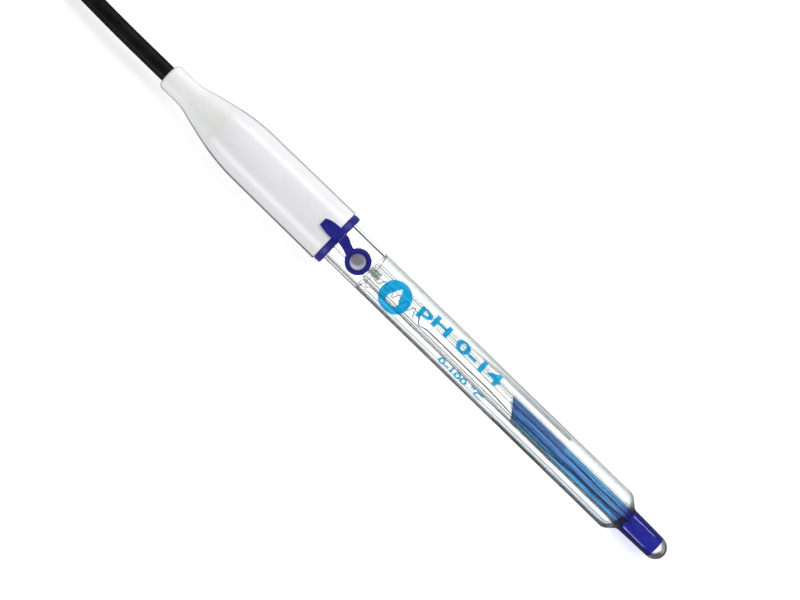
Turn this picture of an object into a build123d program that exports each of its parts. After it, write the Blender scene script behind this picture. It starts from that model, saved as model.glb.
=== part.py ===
from build123d import *
import math
import os

# Combination pH electrode with a glass shaft, lying on a flat surface.
# Lengths are millimetres. Distances along the electrode are measured on its own axis
# from the cap's rim: positive towards the glass tip, negative towards the cable.

# Glass shaft
shaft_diameter = 12.0
shaft_wall = 1.0
shaft_length = 120.0
stem_length = 14.0
shoulder_length = 2.8
shoulder_outer_round = 3.0
shoulder_root_round = 2.0
shoulder_wall = 0.9
shoulder_inner_round = 0.5

# Inner glass tube, stem and membrane
inner_diameter = 4.8
inner_wall = 0.5
inner_rise = 6.0
seal_length = 6.0
tube_plug_length = 4.0
flare_offset = 1.0
flare_length = 2.2
flare_round = 1.2
stem_diameter = 6.9
stem_end_diameter = 6.4
stem_wall = 0.55
membrane_height = 3.6
membrane_tip_wall = 0.75

# Fillings
electrolyte_level = 13.3
meniscus_depth = 0.8
gel_length = 54.4
gel_slant = 3.8
gel_overlap = 0.4

# Cap and strain relief
cap_length = 40.0
cap_neck_diameter = 13.7
cap_body_diameter = 15.9
cap_rim_diameter = 16.2
cap_curve_length = 10.9
cap_edge_round = 0.3
cap_chamber_diameter = 10.8
cap_back_wall = 4.0
potting_length = 18.0
boot_length = 20.0
boot_collar_diameter = 7.5
boot_collar_length = 6.0
boot_turn_length = 4.0
boot_turn_rise = 0.59
boot_end_round = 1.2
spigot_diameter = 7.2

# Silicone band, strap and stopper
band_width = 2.0
band_diameter = 15.5
band_round = 0.45
tab_reach = 4.5
tab_thickness = 0.9
tab_lift = 0.1
tab_slope = 0.1
tab_fall = 0.4
tab_near_side = [(-tab_reach, 1.7), (-tab_reach / 2, 2.45), (0, 2.62), (band_width, 2.42)]
tab_far_side = [(-tab_reach, -0.55), (-tab_reach / 2, -0.9), (0, -1.0), (band_width, -0.55)]
fill_hole_diameter = 4.4
fill_hole_place = 9.15
fill_hole_roll = 5.0
disc_diameter = 7.0
disc_top = 7.4
disc_edge_round = 0.55
dish_diameter = 4.7
dish_depth = 1.25
nipple_tip_diameter = 2.4
nipple_reach = 0.35
strap_gap = 0.12
strap_fall = 0.42
strap_sag = 0.08
strap_lift = 0.4
strap_set = 0.1
stopper_clearance = 0.12

# Wires, wadding and junction
wire_diameter = 0.35
thin_wire_diameter = 0.25
reference_diameter = 0.45
reference_gap = 38.5
wire_bend = 30.0
wire_rise = 2.0
return_start = 36.0
element_start = 34.5
wadding_start = 12.3
wadding_end = 16.4
wadding_flat = 0.55
coil_radius = 1.35
coil_turns = 5
coil_end = 29.6
coil_gap = 0.6
coil_unevenness = 0.22
coil_corner_round = 0.75
junction_diameter = 1.2
junction_gap = 23.0
junction_angle = 215.0
film_start = 13.0
film_end = 62.0
film_thickness = 0.16

# Cable
cable_diameter = 4.7
core_diameter = 1.5
pigtail_diameter = 1.0
jacket_reach = 3.0
splice_length = 3.5
splice_wall = 0.35
pigtail_start = 1.5
pigtail_drop = 3.7
pigtail_reach = 2.0

# Hank of put-away cable
turn_pitch = 4.8
fold_radius = 15.0
hank_near = -200.0
hank_side = 9.3
hank_run = 90.0
hank_edge_round = 1.9
tie_thickness = 0.9
tie_width = 12.0
tie_slack = 0.2
tie_corner_round = 2.4
tie_tail_length = 4.4
tie_tail_offset = 0.2
tie_tail_overlap = 0.2
layers = 3
columns = 1

# Bayonet plug
plug_face_x = -115.0
plug_y = 19.0
grip_diameter = 14.5
sleeve_front_diameter = 13.4
sleeve_chamfer = 0.3
sleeve_length = 14.8
sleeve_bore_diameter = 9.85
sleeve_bore_depth = 9.0
sleeve_room_diameter = 12.0
sleeve_lip = 1.2
grip_start = 6.9
flute_count = 24
flute_radius = 0.6
slot_width = 2.2
slot_lead_in = 2.6
slot_depth = 5.6
slot_turn = 75.0
slot_steps = 3
plug_running_clearance = 0.08
body_neck_diameter = 9.5
flange_diameter = 11.4
flange_thickness = 1.5
flange_gap = 0.3
body_end = 19.0
crimp_neck_length = 6.0
contact_outer_diameter = 8.1
contact_wall = 0.55
contact_front = 1.9
contact_slits = 4
contact_slit_width = 0.5
contact_slit_depth = 4.2
insulator_front = 3.6
insulator_end = 16.4
insulator_recess_diameter = 4.9
insulator_recess_depth = 5.4
pin_diameter = 1.35
pin_front = 2.4
pin_crimp_diameter = 2.0
pin_crimp_start = 12.0
gasket_thickness = 1.0
gasket_diameter = 9.2
washer_height = 2.3
washer_thickness = 0.5
ferrule_wall = 0.6
ferrule_length = 10.6
plug_boot_front_diameter = 10.4
plug_boot_rear_diameter = 6.8
plug_boot_length = 22.0
plug_boot_grooves = 5
plug_boot_groove_width = 1.1
plug_boot_groove_depth = 0.7
plug_boot_groove_start = 1.6
plug_boot_seat = 0.4
plug_boot_rounds = [0.6, 4.0, 0.4]

# Named fits
glass_clearance = 0.05
cable_clearance = 0.02
sealed_gap = 0.02

# Derived radii and places
shoulder_end = shaft_length - stem_length
shoulder_start = shoulder_end - shoulder_length
flare_start = shoulder_start + flare_offset
shaft_seat = cap_length - cap_back_wall - potting_length
inner_seat = shaft_seat + inner_rise
jacket_end = cap_length - cap_back_wall - jacket_reach
gel_end = shaft_length - membrane_height + gel_overlap
gel_start_high = gel_end - gel_length
gel_start_low = gel_start_high + gel_slant
reference_start = -jacket_end + splice_length * 2 + pigtail_reach
reference_end = shaft_length - reference_gap
junction_place = shaft_length - junction_gap
wire_end = shoulder_end + wire_rise
shaft_radius = shaft_diameter / 2
bore_radius = shaft_radius - shaft_wall
inner_radius = inner_diameter / 2
inner_bore_radius = inner_radius - inner_wall
stem_radius = stem_diameter / 2
stem_end_radius = stem_end_diameter / 2
stem_end = shaft_length - membrane_height
cap_rim_radius = cap_rim_diameter / 2
cable_radius = cable_diameter / 2
boot_end = -cap_length - boot_length

# The electrode rests on the rounded rim of the cap and on the round of the glass shoulder.
shoulder_slope = math.atan2(shaft_radius - stem_radius, shoulder_end - shoulder_start)
round_centre = shoulder_start - shoulder_outer_round * math.tan(shoulder_slope / 2)
rest_span = round_centre + cap_edge_round
rest_drop = (cap_rim_radius - cap_edge_round) - (shaft_radius - shoulder_outer_round)
round_difference = shoulder_outer_round - cap_edge_round
rest_tilt = math.acos(round_difference / math.hypot(rest_span, rest_drop)) - math.atan2(rest_span, rest_drop)
lean = math.sin(rest_tilt)
level = math.cos(rest_tilt)
rim_height = (cap_rim_radius - cap_edge_round) * level - cap_edge_round * lean + cap_edge_round
rim_x = -(shaft_length + boot_end) * level / 2 + (boot_collar_diameter / 2 - boot_end_round) * lean / 2

along = Vector(level, 0, -lean)
upward = Vector(lean, 0, level)
sideways = Vector(0, 1, 0)
rim_centre = Vector(rim_x, 0, rim_height)
centre_axis = Axis(rim_centre, along)


def spot(distance, side=0.0, height=0.0):
    """A point by its distance along the axis, its side offset and its height over the axis."""
    return rim_centre + along * distance + sideways * side + upward * height


def across(distance):
    """A plane square to the axis, with its y direction upward."""
    return Plane(origin=spot(distance), x_dir=(0, 1, 0), z_dir=along)


def plan_at(height):
    """A plane parallel to the axis, seen from above, at a height over the axis."""
    return Plane(origin=spot(0, 0, height), x_dir=along, z_dir=upward)


section = Plane(origin=rim_centre, x_dir=along, z_dir=(0, -1, 0))
roll = math.radians(fill_hole_roll)
fill_direction = upward * math.cos(roll) - sideways * math.sin(roll)
fill_plane = Plane(origin=spot(fill_hole_place), x_dir=along, z_dir=fill_direction)
junction_turn = math.radians(junction_angle)
junction_direction = sideways * math.cos(junction_turn) + upward * math.sin(junction_turn)
junction_plane = Plane(origin=spot(junction_place), x_dir=along, z_dir=junction_direction)

# Outer form of the glass shaft, and the space inside it
with BuildPart() as shaft_form:
    with BuildSketch(section):
        with BuildLine():
            shoulder_run = FilletPolyline(
                (-shaft_seat, shaft_radius),
                (shoulder_start, shaft_radius),
                (shoulder_end, stem_radius),
                (shoulder_end + shoulder_root_round, stem_radius),
                radius=[shoulder_outer_round, shoulder_root_round],
            )
            Polyline(
                shoulder_run @ 1, (shoulder_end + shoulder_root_round, 0), (-shaft_seat, 0), shoulder_run @ 0
            )
        make_face()
    revolve(axis=centre_axis)

with BuildPart() as shaft_space:
    with BuildSketch(section):
        with BuildLine():
            wall_run = FilletPolyline(
                (-shaft_seat, bore_radius),
                (shoulder_start - shoulder_wall / 2, bore_radius),
                (shoulder_end - shoulder_wall / 2, stem_radius - shoulder_wall),
                (shoulder_end + shoulder_root_round, 0),
                radius=[shoulder_outer_round - shoulder_wall, shoulder_inner_round],
            )
            Polyline(wall_run @ 1, (-shaft_seat, 0), wall_run @ 0)
        make_face()
    revolve(axis=centre_axis)

# Outer form of the inner tube with its flare and stem, and the space inside it
with BuildPart() as inner_form:
    with BuildSketch(section):
        with BuildLine():
            stem_run = FilletPolyline(
                (-inner_seat, inner_radius),
                (flare_start, inner_radius),
                (flare_start + flare_length, stem_radius),
                (stem_end, stem_end_radius),
                radius=[flare_round, flare_round],
            )
            Polyline(stem_run @ 1, (stem_end, 0), (-inner_seat, 0), stem_run @ 0)
        make_face()
    revolve(axis=centre_axis)

with BuildPart() as inner_space:
    with BuildSketch(section):
        with BuildLine():
            bore_run = FilletPolyline(
                (-inner_seat, inner_bore_radius),
                (flare_start, inner_bore_radius),
                (flare_start + flare_length, stem_radius - stem_wall),
                (stem_end, stem_end_radius - stem_wall),
                radius=[flare_round, flare_round],
            )
            Polyline(bore_run @ 1, (stem_end, 0), (-inner_seat, 0), bore_run @ 0)
        make_face()
    revolve(axis=centre_axis)

# Outer glass tube: one blown piece with a fill hole and a hole for the ceramic junction
with BuildPart() as outer_tube:
    add(shaft_form.part)
    add(shaft_space.part, mode=Mode.SUBTRACT)
    add(inner_form.part, mode=Mode.SUBTRACT)
    with BuildSketch(fill_plane):
        Circle(fill_hole_diameter / 2)
    extrude(amount=shaft_diameter, mode=Mode.SUBTRACT)
    with BuildSketch(junction_plane):
        Circle(junction_diameter / 2)
    extrude(amount=shaft_diameter, mode=Mode.SUBTRACT)

# Inner glass tube, flared into the stem
with BuildPart() as inner_tube:
    add(inner_form.part)
    add(inner_space.part, mode=Mode.SUBTRACT)

# Domed membrane, fused to the stem's end
membrane_seat_radius = stem_end_radius - stem_wall
with BuildPart() as membrane_space:
    with BuildSketch(section):
        with BuildLine():
            EllipticalCenterArc(
                (stem_end, 0), membrane_height - membrane_tip_wall, membrane_seat_radius, arc_size=90
            )
            Polyline(
                (stem_end, membrane_seat_radius), (stem_end, 0), (shaft_length - membrane_tip_wall, 0)
            )
        make_face()
    revolve(axis=centre_axis)

with BuildPart() as membrane:
    with BuildSketch(section):
        with BuildLine():
            EllipticalCenterArc((stem_end, 0), membrane_height, stem_end_radius, arc_size=90)
            Polyline((stem_end, stem_end_radius), (stem_end, 0), (shaft_length, 0))
        make_face()
    revolve(axis=centre_axis)
    add(membrane_space.part, mode=Mode.SUBTRACT)

# Porous ceramic pin, flush with the glass
with BuildPart() as junction:
    with BuildSketch(junction_plane.offset(bore_radius - glass_clearance)):
        Circle(junction_diameter / 2)
    extrude(amount=shaft_wall)


def wire_path(points, radii):
    """A wire's line through points given along, beside and over the axis."""
    return FilletPolyline(*[spot(*point) for point in points], radius=radii)


# Reference wire: comes down behind the inner tube and works round to the side of the space
reference_points = [
    (reference_start, 0.0, -pigtail_drop),
    (electrolyte_level, 0.4, -3.75),
    (electrolyte_level + (reference_end - electrolyte_level) * 0.36, 1.9, -3.2),
    (electrolyte_level + (reference_end - electrolyte_level) * 0.655, 2.95, -2.3),
    (reference_end, 3.15, -1.95),
]
with BuildPart() as reference_wire:
    with BuildLine() as reference_line:
        wire_path(reference_points, wire_bend)
    with BuildSketch(Plane(origin=reference_line.line @ 0, z_dir=reference_line.line % 0)):
        Circle(reference_diameter / 2)
    sweep()

# Thin silver wire: down from the core's splice, then a loose hand-wound coil
coil_start = wadding_end + coil_gap
coil_step = (coil_end - coil_start) / (coil_turns * 4)
lead_points = [(-jacket_end + splice_length * 2, 0.0, 0.0), (wadding_start - 2.0, 0.25, -0.1)]
lead_points.append((wadding_end - 0.4, -0.95, -0.5))
lead_radii = [2.0, 0.8]
for corner in range(coil_turns * 4 + 1):
    turn = math.radians(200 + 90 * corner)
    loop_radius = coil_radius + coil_unevenness * math.sin(corner * 1.9)
    lead_points.append(
        (coil_start + coil_step * corner, loop_radius * math.cos(turn), loop_radius * math.sin(turn))
    )
    lead_radii.append(coil_corner_round)
lead_radii.pop()
with BuildPart() as lead_coil:
    with BuildLine() as lead_line:
        wire_path(lead_points, lead_radii)
    with BuildSketch(Plane(origin=lead_line.line @ 0, z_dir=lead_line.line % 0)):
        Circle(thin_wire_diameter / 2)
    sweep()

# Black coated wire of the measuring element, bowed in the bore, ending in the stem
element_run = wire_end - element_start
element_points = [
    (element_start - 4.7, 1.3, 0.5),
    (element_start - 2.7, -1.45, 0.35),
    (element_start, -0.8, 0.3),
    (element_start + element_run * 0.306, -0.75, 0.1),
    (element_start + element_run * 0.429, -1.3, 0.0),
    (element_start + element_run * 0.592, -1.35, 0.1),
    (element_start + element_run * 0.755, -0.8, 0.35),
    (element_start + element_run * 0.905, -0.45, 0.2),
    (wire_end, 0.05, 0.0),
]
with BuildPart() as element_wire:
    with BuildLine() as element_line:
        wire_path(element_points, [0.6, 1.2, 15.0, 15.0, 25.0, 25.0, 15.0])
    with BuildSketch(Plane(origin=element_line.line @ 0, z_dir=element_line.line % 0)):
        Circle(wire_diameter / 2)
    sweep()

# Second, thinner wire on the other side of the bore
return_run = wire_end - return_start
return_points = [
    (return_start, 1.25, -0.2),
    (return_start + return_run * 0.347, 0.75, -0.3),
    (return_start + return_run * 0.667, 0.85, -0.45),
    (wire_end, 0.45, -0.3),
]
with BuildPart() as return_wire:
    with BuildLine() as return_line:
        wire_path(return_points, wire_bend)
    with BuildSketch(Plane(origin=return_line.line @ 0, z_dir=return_line.line % 0)):
        Circle(thin_wire_diameter / 2)
    sweep()

# Glass-wool wadding in the upper part of the inner bore, beside the wire
with BuildPart() as fibre_plug:
    with BuildSketch(across(wadding_start)):
        Circle(inner_bore_radius - sealed_gap)
        with Locations((-inner_bore_radius - wadding_flat, 0)):
            Rectangle(inner_bore_radius * 2, inner_bore_radius * 3, mode=Mode.SUBTRACT)
    extrude(amount=wadding_end - wadding_start)
    add(lead_coil.part, mode=Mode.SUBTRACT)

# Clear filling between the two tubes, with a curved level under the dry space
level_middle = (bore_radius + inner_radius) / 2
with BuildPart() as electrolyte:
    with BuildSketch(section):
        with BuildLine():
            ThreePointArc(
                (electrolyte_level, 0),
                (electrolyte_level + meniscus_depth, level_middle),
                (electrolyte_level, bore_radius),
            )
            Polyline(
                (electrolyte_level, bore_radius), (shaft_length, bore_radius), (shaft_length, 0),
                (electrolyte_level, 0),
            )
        make_face()
    revolve(axis=centre_axis)
    add(shaft_space.part, mode=Mode.INTERSECT)
    add(inner_form.part, mode=Mode.SUBTRACT)
    add(reference_wire.part, mode=Mode.SUBTRACT)
    add(junction.part, mode=Mode.SUBTRACT)

# Blue gel in the bore and stem; its upper end has run down one side
with BuildPart() as inner_gel:
    add(inner_space.part)
    add(membrane_space.part)
    with BuildSketch(plan_at(-shaft_radius)):
        with BuildLine():
            Spline(
                (gel_start_high, inner_bore_radius),
                (gel_start_high + 0.9, inner_bore_radius / 2),
                ((gel_start_high + gel_start_low) / 2 - 0.3, 0),
                (gel_start_low - 0.8, -inner_bore_radius / 2),
                (gel_start_low, -inner_bore_radius),
            )
            Polyline(
                (gel_start_low, -inner_bore_radius),
                (gel_start_low, -shaft_radius),
                (gel_end, -shaft_radius),
                (gel_end, shaft_radius),
                (gel_start_high, shaft_radius),
                (gel_start_high, inner_bore_radius),
            )
        make_face()
    extrude(amount=shaft_diameter, mode=Mode.INTERSECT)
    add(element_wire.part, mode=Mode.SUBTRACT)
    add(return_wire.part, mode=Mode.SUBTRACT)

# Clear film that carries the print
with BuildPart() as print_film:
    with BuildSketch(across(film_start)):
        Circle(shaft_radius + film_thickness)
        Circle(shaft_radius, mode=Mode.SUBTRACT)
    extrude(amount=film_end - film_start)

# Soft strain relief: a plain collar, a hollow flare and a spigot into the cap
with BuildPart() as boot:
    with BuildSketch(section):
        with BuildLine():
            collar_end = (boot_end + boot_collar_length, boot_collar_diameter / 2)
            turn_end = (collar_end[0] + boot_turn_length, collar_end[1] + boot_turn_rise)
            collar = FilletPolyline(
                (boot_end, 0), (boot_end, boot_collar_diameter / 2), collar_end, radius=boot_end_round
            )
            hollow_turn = TangentArc(collar @ 1, turn_end, tangent=(1, 0))
            flare = TangentArc(
                hollow_turn @ 1, (-cap_length, cap_neck_diameter / 2), tangent=hollow_turn % 1
            )
            Polyline(
                flare @ 1,
                (-cap_length, spigot_diameter / 2),
                (-cap_length + cap_back_wall, spigot_diameter / 2),
                (-cap_length + cap_back_wall, 0),
                collar @ 0,
            )
        make_face()
    revolve(axis=centre_axis)
    with BuildSketch(across(boot_end)):
        Circle(cable_radius + cable_clearance)
    extrude(amount=boot_length + cap_back_wall, mode=Mode.SUBTRACT)

# White cap: a hollow moulding with a seat for the glass, a chamber and a back wall
with BuildPart() as cap:
    with BuildSketch(section):
        with BuildLine():
            crown = TangentArc(
                (-cap_length, cap_neck_diameter / 2),
                (-cap_length + cap_curve_length, cap_body_diameter / 2),
                tangent=flare % 1,
            )
            skirt = FilletPolyline(
                crown @ 1, (0, cap_rim_radius), (0, shaft_radius + glass_clearance), radius=cap_edge_round
            )
            Polyline(
                skirt @ 1,
                (-shaft_seat, shaft_radius + glass_clearance),
                (-shaft_seat, cap_chamber_diameter / 2),
                (-cap_length + cap_back_wall, cap_chamber_diameter / 2),
                (-cap_length + cap_back_wall, spigot_diameter / 2),
                (-cap_length, spigot_diameter / 2),
                crown @ 0,
            )
        make_face()
    revolve(axis=centre_axis)

# Seal between the tubes, and the plug of the inner tube, both pierced by their wires
with BuildPart() as top_seal:
    with BuildSketch(across(-shaft_seat)):
        Circle(bore_radius)
        Circle(inner_radius, mode=Mode.SUBTRACT)
    extrude(amount=seal_length)
    add(reference_wire.part, mode=Mode.SUBTRACT)

with BuildPart() as tube_plug:
    with BuildSketch(across(-inner_seat)):
        Circle(inner_bore_radius)
    extrude(amount=tube_plug_length)
    add(lead_coil.part, mode=Mode.SUBTRACT)

# The cable's insulated core and the end of its screen, each with a splice sleeve
with BuildPart() as cable_core:
    with BuildSketch(across(-jacket_end)):
        Circle(core_diameter / 2)
    extrude(amount=splice_length)

with BuildPart() as core_splice:
    with BuildSketch(across(-jacket_end + splice_length)):
        Circle(core_diameter / 2 + splice_wall)
    extrude(amount=splice_length)

pigtail_points = [
    (-jacket_end, 0.0, -pigtail_start),
    (-jacket_end + 1.6, 0.0, -pigtail_start),
    (-jacket_end + 3.6, 0.0, -pigtail_drop),
    (-jacket_end + splice_length + pigtail_reach, 0.0, -pigtail_drop),
]
with BuildPart() as shield_pigtail:
    with BuildLine() as pigtail_line:
        wire_path(pigtail_points, 0.8)
    with BuildSketch(Plane(origin=pigtail_line.line @ 0, z_dir=pigtail_line.line % 0)):
        Circle(pigtail_diameter / 2)
    sweep()

with BuildPart() as shield_splice:
    with BuildSketch(across(-jacket_end + splice_length + pigtail_reach)):
        with Locations((0, -pigtail_drop)):
            Circle(pigtail_diameter / 2 + splice_wall)
    extrude(amount=splice_length)
    add(reference_wire.part, mode=Mode.SUBTRACT)

# Cast resin in the cap's chamber, round everything that enters it
with BuildPart() as potting:
    with BuildSketch(across(-cap_length + cap_back_wall)):
        Circle(cap_chamber_diameter / 2)
    extrude(amount=cap_length - cap_back_wall - shaft_seat)
    with BuildSketch(across(-cap_length + cap_back_wall)):
        Circle(cable_radius)
    extrude(amount=cap_length - cap_back_wall - jacket_end, mode=Mode.SUBTRACT)
    with BuildSketch(across(-inner_seat)):
        Circle(inner_radius)
    extrude(amount=inner_seat - shaft_seat, mode=Mode.SUBTRACT)
    for embedded in (cable_core, core_splice, shield_pigtail, shield_splice, reference_wire, lead_coil):
        add(embedded.part, mode=Mode.SUBTRACT)

# Silicone band under the rim, moulded with a tab that lies over the cap
tab_bottom = cap_rim_radius + tab_lift
tab_top = tab_bottom + tab_thickness
split_place = band_width + strap_gap
with BuildPart() as stopper_band:
    with BuildSketch(plan_at(shaft_radius)):
        with BuildLine():
            Spline(*tab_near_side)
            Spline(*tab_far_side)
            Line(tab_near_side[0], tab_far_side[0])
            Line(tab_near_side[-1], tab_far_side[-1])
        make_face()
    extrude(amount=shaft_radius)
    with BuildSketch(section):
        with BuildLine():
            Polyline(
                (-tab_reach, tab_bottom),
                (0, tab_bottom),
                (0, shaft_radius + tab_thickness),
                (band_width, shaft_radius + tab_thickness),
                (band_width, tab_top - tab_fall),
                (0, tab_top - tab_slope),
                (-tab_reach, tab_top),
                close=True,
            )
        make_face()
    extrude(amount=shaft_radius, both=True, mode=Mode.INTERSECT)
    with BuildSketch(section):
        with Locations((band_width / 2, (band_diameter / 2 + shaft_radius) / 2)):
            RectangleRounded(band_width, band_diameter / 2 - shaft_radius, band_round)
    revolve(axis=centre_axis)

# The strap of the stopper: its outline from above, trimmed to its outline from the side
dish_radius = (dish_diameter ** 2 / 4 + dish_depth ** 2) / (2 * dish_depth)
dish_centre = spot(fill_hole_place) + fill_direction * (disc_top - dish_depth + dish_radius)
strap_end = fill_hole_place - dish_diameter / 2
strap_near_side = [(split_place, 2.4), (3.9, 1.9), (5.5, 1.2), (strap_end, 1.1)]
strap_far_side = [(split_place, -0.55), (3.9, -0.9), (5.5, -1.45), (strap_end, -2.0)]
with BuildPart() as strap:
    with BuildSketch(plan_at(shaft_radius)):
        with BuildLine():
            near_side = Spline(*strap_near_side)
            far_side = Spline(*strap_far_side)
            Line(near_side @ 0, far_side @ 0)
            Line(near_side @ 1, far_side @ 1)
        make_face()
    extrude(amount=shaft_radius)
    with BuildSketch(section):
        with BuildLine():
            strap_top = Bezier(
                (split_place, tab_top - strap_fall),
                (3.9, tab_top - strap_fall - strap_sag),
                (4.6, disc_top - strap_set),
                (strap_end, disc_top - strap_set),
            )
            strap_under = Bezier(
                (split_place, tab_bottom - strap_fall),
                (3.4, tab_bottom - strap_fall - strap_sag),
                (4.2, shaft_radius + strap_lift),
                (strap_end, shaft_radius + strap_lift),
            )
            Line(strap_top @ 0, strap_under @ 0)
            Line(strap_top @ 1, strap_under @ 1)
        make_face()
    extrude(amount=shaft_radius, both=True, mode=Mode.INTERSECT)

# Stopper: strap, round disc with a dished top, and a tapered nipple that closes the fill hole
nipple_tip = bore_radius - nipple_reach
with BuildPart() as fill_stopper:
    with BuildSketch(fill_plane.offset(nipple_tip)):
        Circle(disc_diameter / 2)
    extrude(amount=disc_top - nipple_tip)
    fillet(edges().sort_by(Axis((0, 0, 0), fill_direction))[-1], disc_edge_round)
    add(strap.part)
    with BuildSketch(across(0)):
        Circle(shaft_radius + stopper_clearance)
    extrude(amount=fill_hole_place * 2, mode=Mode.SUBTRACT)
    with BuildSketch(fill_plane.offset(nipple_tip)):
        Circle(nipple_tip_diameter / 2)
    with BuildSketch(fill_plane.offset(shaft_radius)):
        Circle(fill_hole_diameter / 2 - stopper_clearance)
    loft()
    with BuildSketch(fill_plane.offset(shaft_radius)):
        Circle(fill_hole_diameter / 2 - stopper_clearance)
    extrude(amount=disc_top - shaft_radius - dish_depth)
    with Locations(dish_centre):
        Sphere(dish_radius, mode=Mode.SUBTRACT)


def arc_radii(points):
    """The arc radius at each inner point of a route: 0.45 of its shorter run at that turn."""
    radii = []
    for before, corner, after in zip(points, points[1:], points[2:]):
        arriving = Vector(*corner) - Vector(*before)
        leaving = Vector(*after) - Vector(*corner)
        turn = math.radians(arriving.get_angle(leaving))
        radii.append(0.45 * min(arriving.length, leaving.length) / math.tan(turn / 2))
    return radii


# Cable: straight through the boot, then down to the surface and into the hank
fold_outer = fold_radius + turn_pitch * (columns - 1)
lead_route = [
    tuple(spot(boot_end - 4.0)),
    tuple(spot(boot_end - 18.0)),
    (-126.0, 0.5, 7.4),
    (-146.0, 0.2, 4.1),
    (-168.0, -2.0, 2.9),
    (-188.0, -5.1, 3.1),
    (hank_near + 1.0, hank_side - fold_outer, tie_thickness + cable_radius),
]
lead_arcs = arc_radii(lead_route)
with BuildPart() as cable:
    with BuildLine() as cable_line:
        Line(spot(-jacket_end), lead_route[0])
        FilletPolyline(*lead_route, radius=lead_arcs)
    with BuildSketch(Plane(origin=spot(-jacket_end), z_dir=-along)):
        Circle(cable_radius)
    sweep()

# Hank: turns folded in line with the electrode, drawn in at the waist by the tie
hank_middle = hank_near - hank_run / 2
hank_height = cable_diameter + turn_pitch * (layers - 1)
end_width = fold_outer + cable_radius
waist_width = turn_pitch * (columns - 0.5) + cable_radius
with BuildPart() as cable_hank:
    with BuildSketch(Plane(origin=(hank_middle, hank_side, tie_thickness))):
        with BuildLine():
            waist_arc = TangentArc(
                (0, waist_width), (hank_run / 4, (waist_width + end_width) / 2), tangent=(1, 0)
            )
            fold_arc = TangentArc(waist_arc @ 1, (hank_run / 2, end_width), tangent=waist_arc % 1)
            CenterArc((hank_run / 2, 0), end_width, 0, 90)
            mirror(about=Plane.YZ)
            mirror(about=Plane.XZ)
        make_face()
    extrude(amount=hank_height)
    fillet(edges().group_by(Axis.Z)[-1] + edges().group_by(Axis.Z)[0], hank_edge_round)

# Strap round the hank's waist, with its end lapped over on top
tie_inner_width = 2 * waist_width + 2 * tie_slack
tie_inner_height = hank_height + tie_slack
with BuildPart() as hank_tie:
    with BuildSketch(Plane(origin=(hank_middle, hank_side, 0), x_dir=(0, 1, 0), z_dir=(1, 0, 0))):
        with Locations((0, tie_inner_height / 2 + tie_thickness)):
            RectangleRounded(
                tie_inner_width + 2 * tie_thickness,
                tie_inner_height + 2 * tie_thickness,
                tie_corner_round + tie_thickness,
            )
            RectangleRounded(tie_inner_width, tie_inner_height, tie_corner_round, mode=Mode.SUBTRACT)
        with Locations((tie_tail_offset, tie_inner_height + 2.5 * tie_thickness - tie_tail_overlap)):
            Rectangle(tie_tail_length, tie_thickness)
    extrude(amount=tie_width / 2, both=True)

# Plug frame: distances are measured back from its mating face
plug_face = Vector(plug_face_x, plug_y, grip_diameter / 2)
plug_axis = Axis(plug_face, (-1, 0, 0))
plug_section = Plane(origin=plug_face, x_dir=(-1, 0, 0), z_dir=(0, 1, 0))
standing = (Align.CENTER, Align.CENTER, Align.MIN)


def plug_plane(behind):
    """A plane square to the plug's axis, looking out of the mating face."""
    return Plane(origin=plug_face - Vector(behind, 0, 0), x_dir=(0, 1, 0), z_dir=(1, 0, 0))


def plug_ring(outer, inner, front, back):
    """Adds a plain ring to the open part, between two distances behind the face."""
    with Locations(plug_plane(back)):
        Cylinder(outer, back - front, align=standing)
        if inner:
            Cylinder(inner, back - front, align=standing, mode=Mode.SUBTRACT)


# Cable from the hank's top turn down to the plug, level through the plug's boot
boot_front = body_end
boot_back = boot_front + plug_boot_length - plug_boot_seat
hank_top_line = tie_thickness + hank_height - cable_radius
tail_route = [
    (hank_near + 1.0, hank_side + fold_outer, hank_top_line),
    (hank_near + 9.5, hank_side + fold_outer - 0.1, hank_top_line - 0.3),
    (hank_near + 20.0, hank_side + fold_outer - 2.7, hank_top_line - 2.9),
    (plug_face_x - boot_back - 13.9, plug_y, grip_diameter / 2),
    (plug_face_x - boot_back - 4.0, plug_y, grip_diameter / 2),
]
tail_arcs = arc_radii(tail_route)
jacket_stop = body_end + crimp_neck_length
with BuildPart() as cable_tail:
    with BuildLine() as tail_line:
        FilletPolyline(*tail_route, radius=tail_arcs)
        Line(tail_route[-1], plug_face - Vector(jacket_stop, 0, 0))
    with BuildSketch(Plane(origin=tail_line.line @ 0, z_dir=tail_line.line % 0)):
        Circle(cable_radius)
    sweep()

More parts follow.
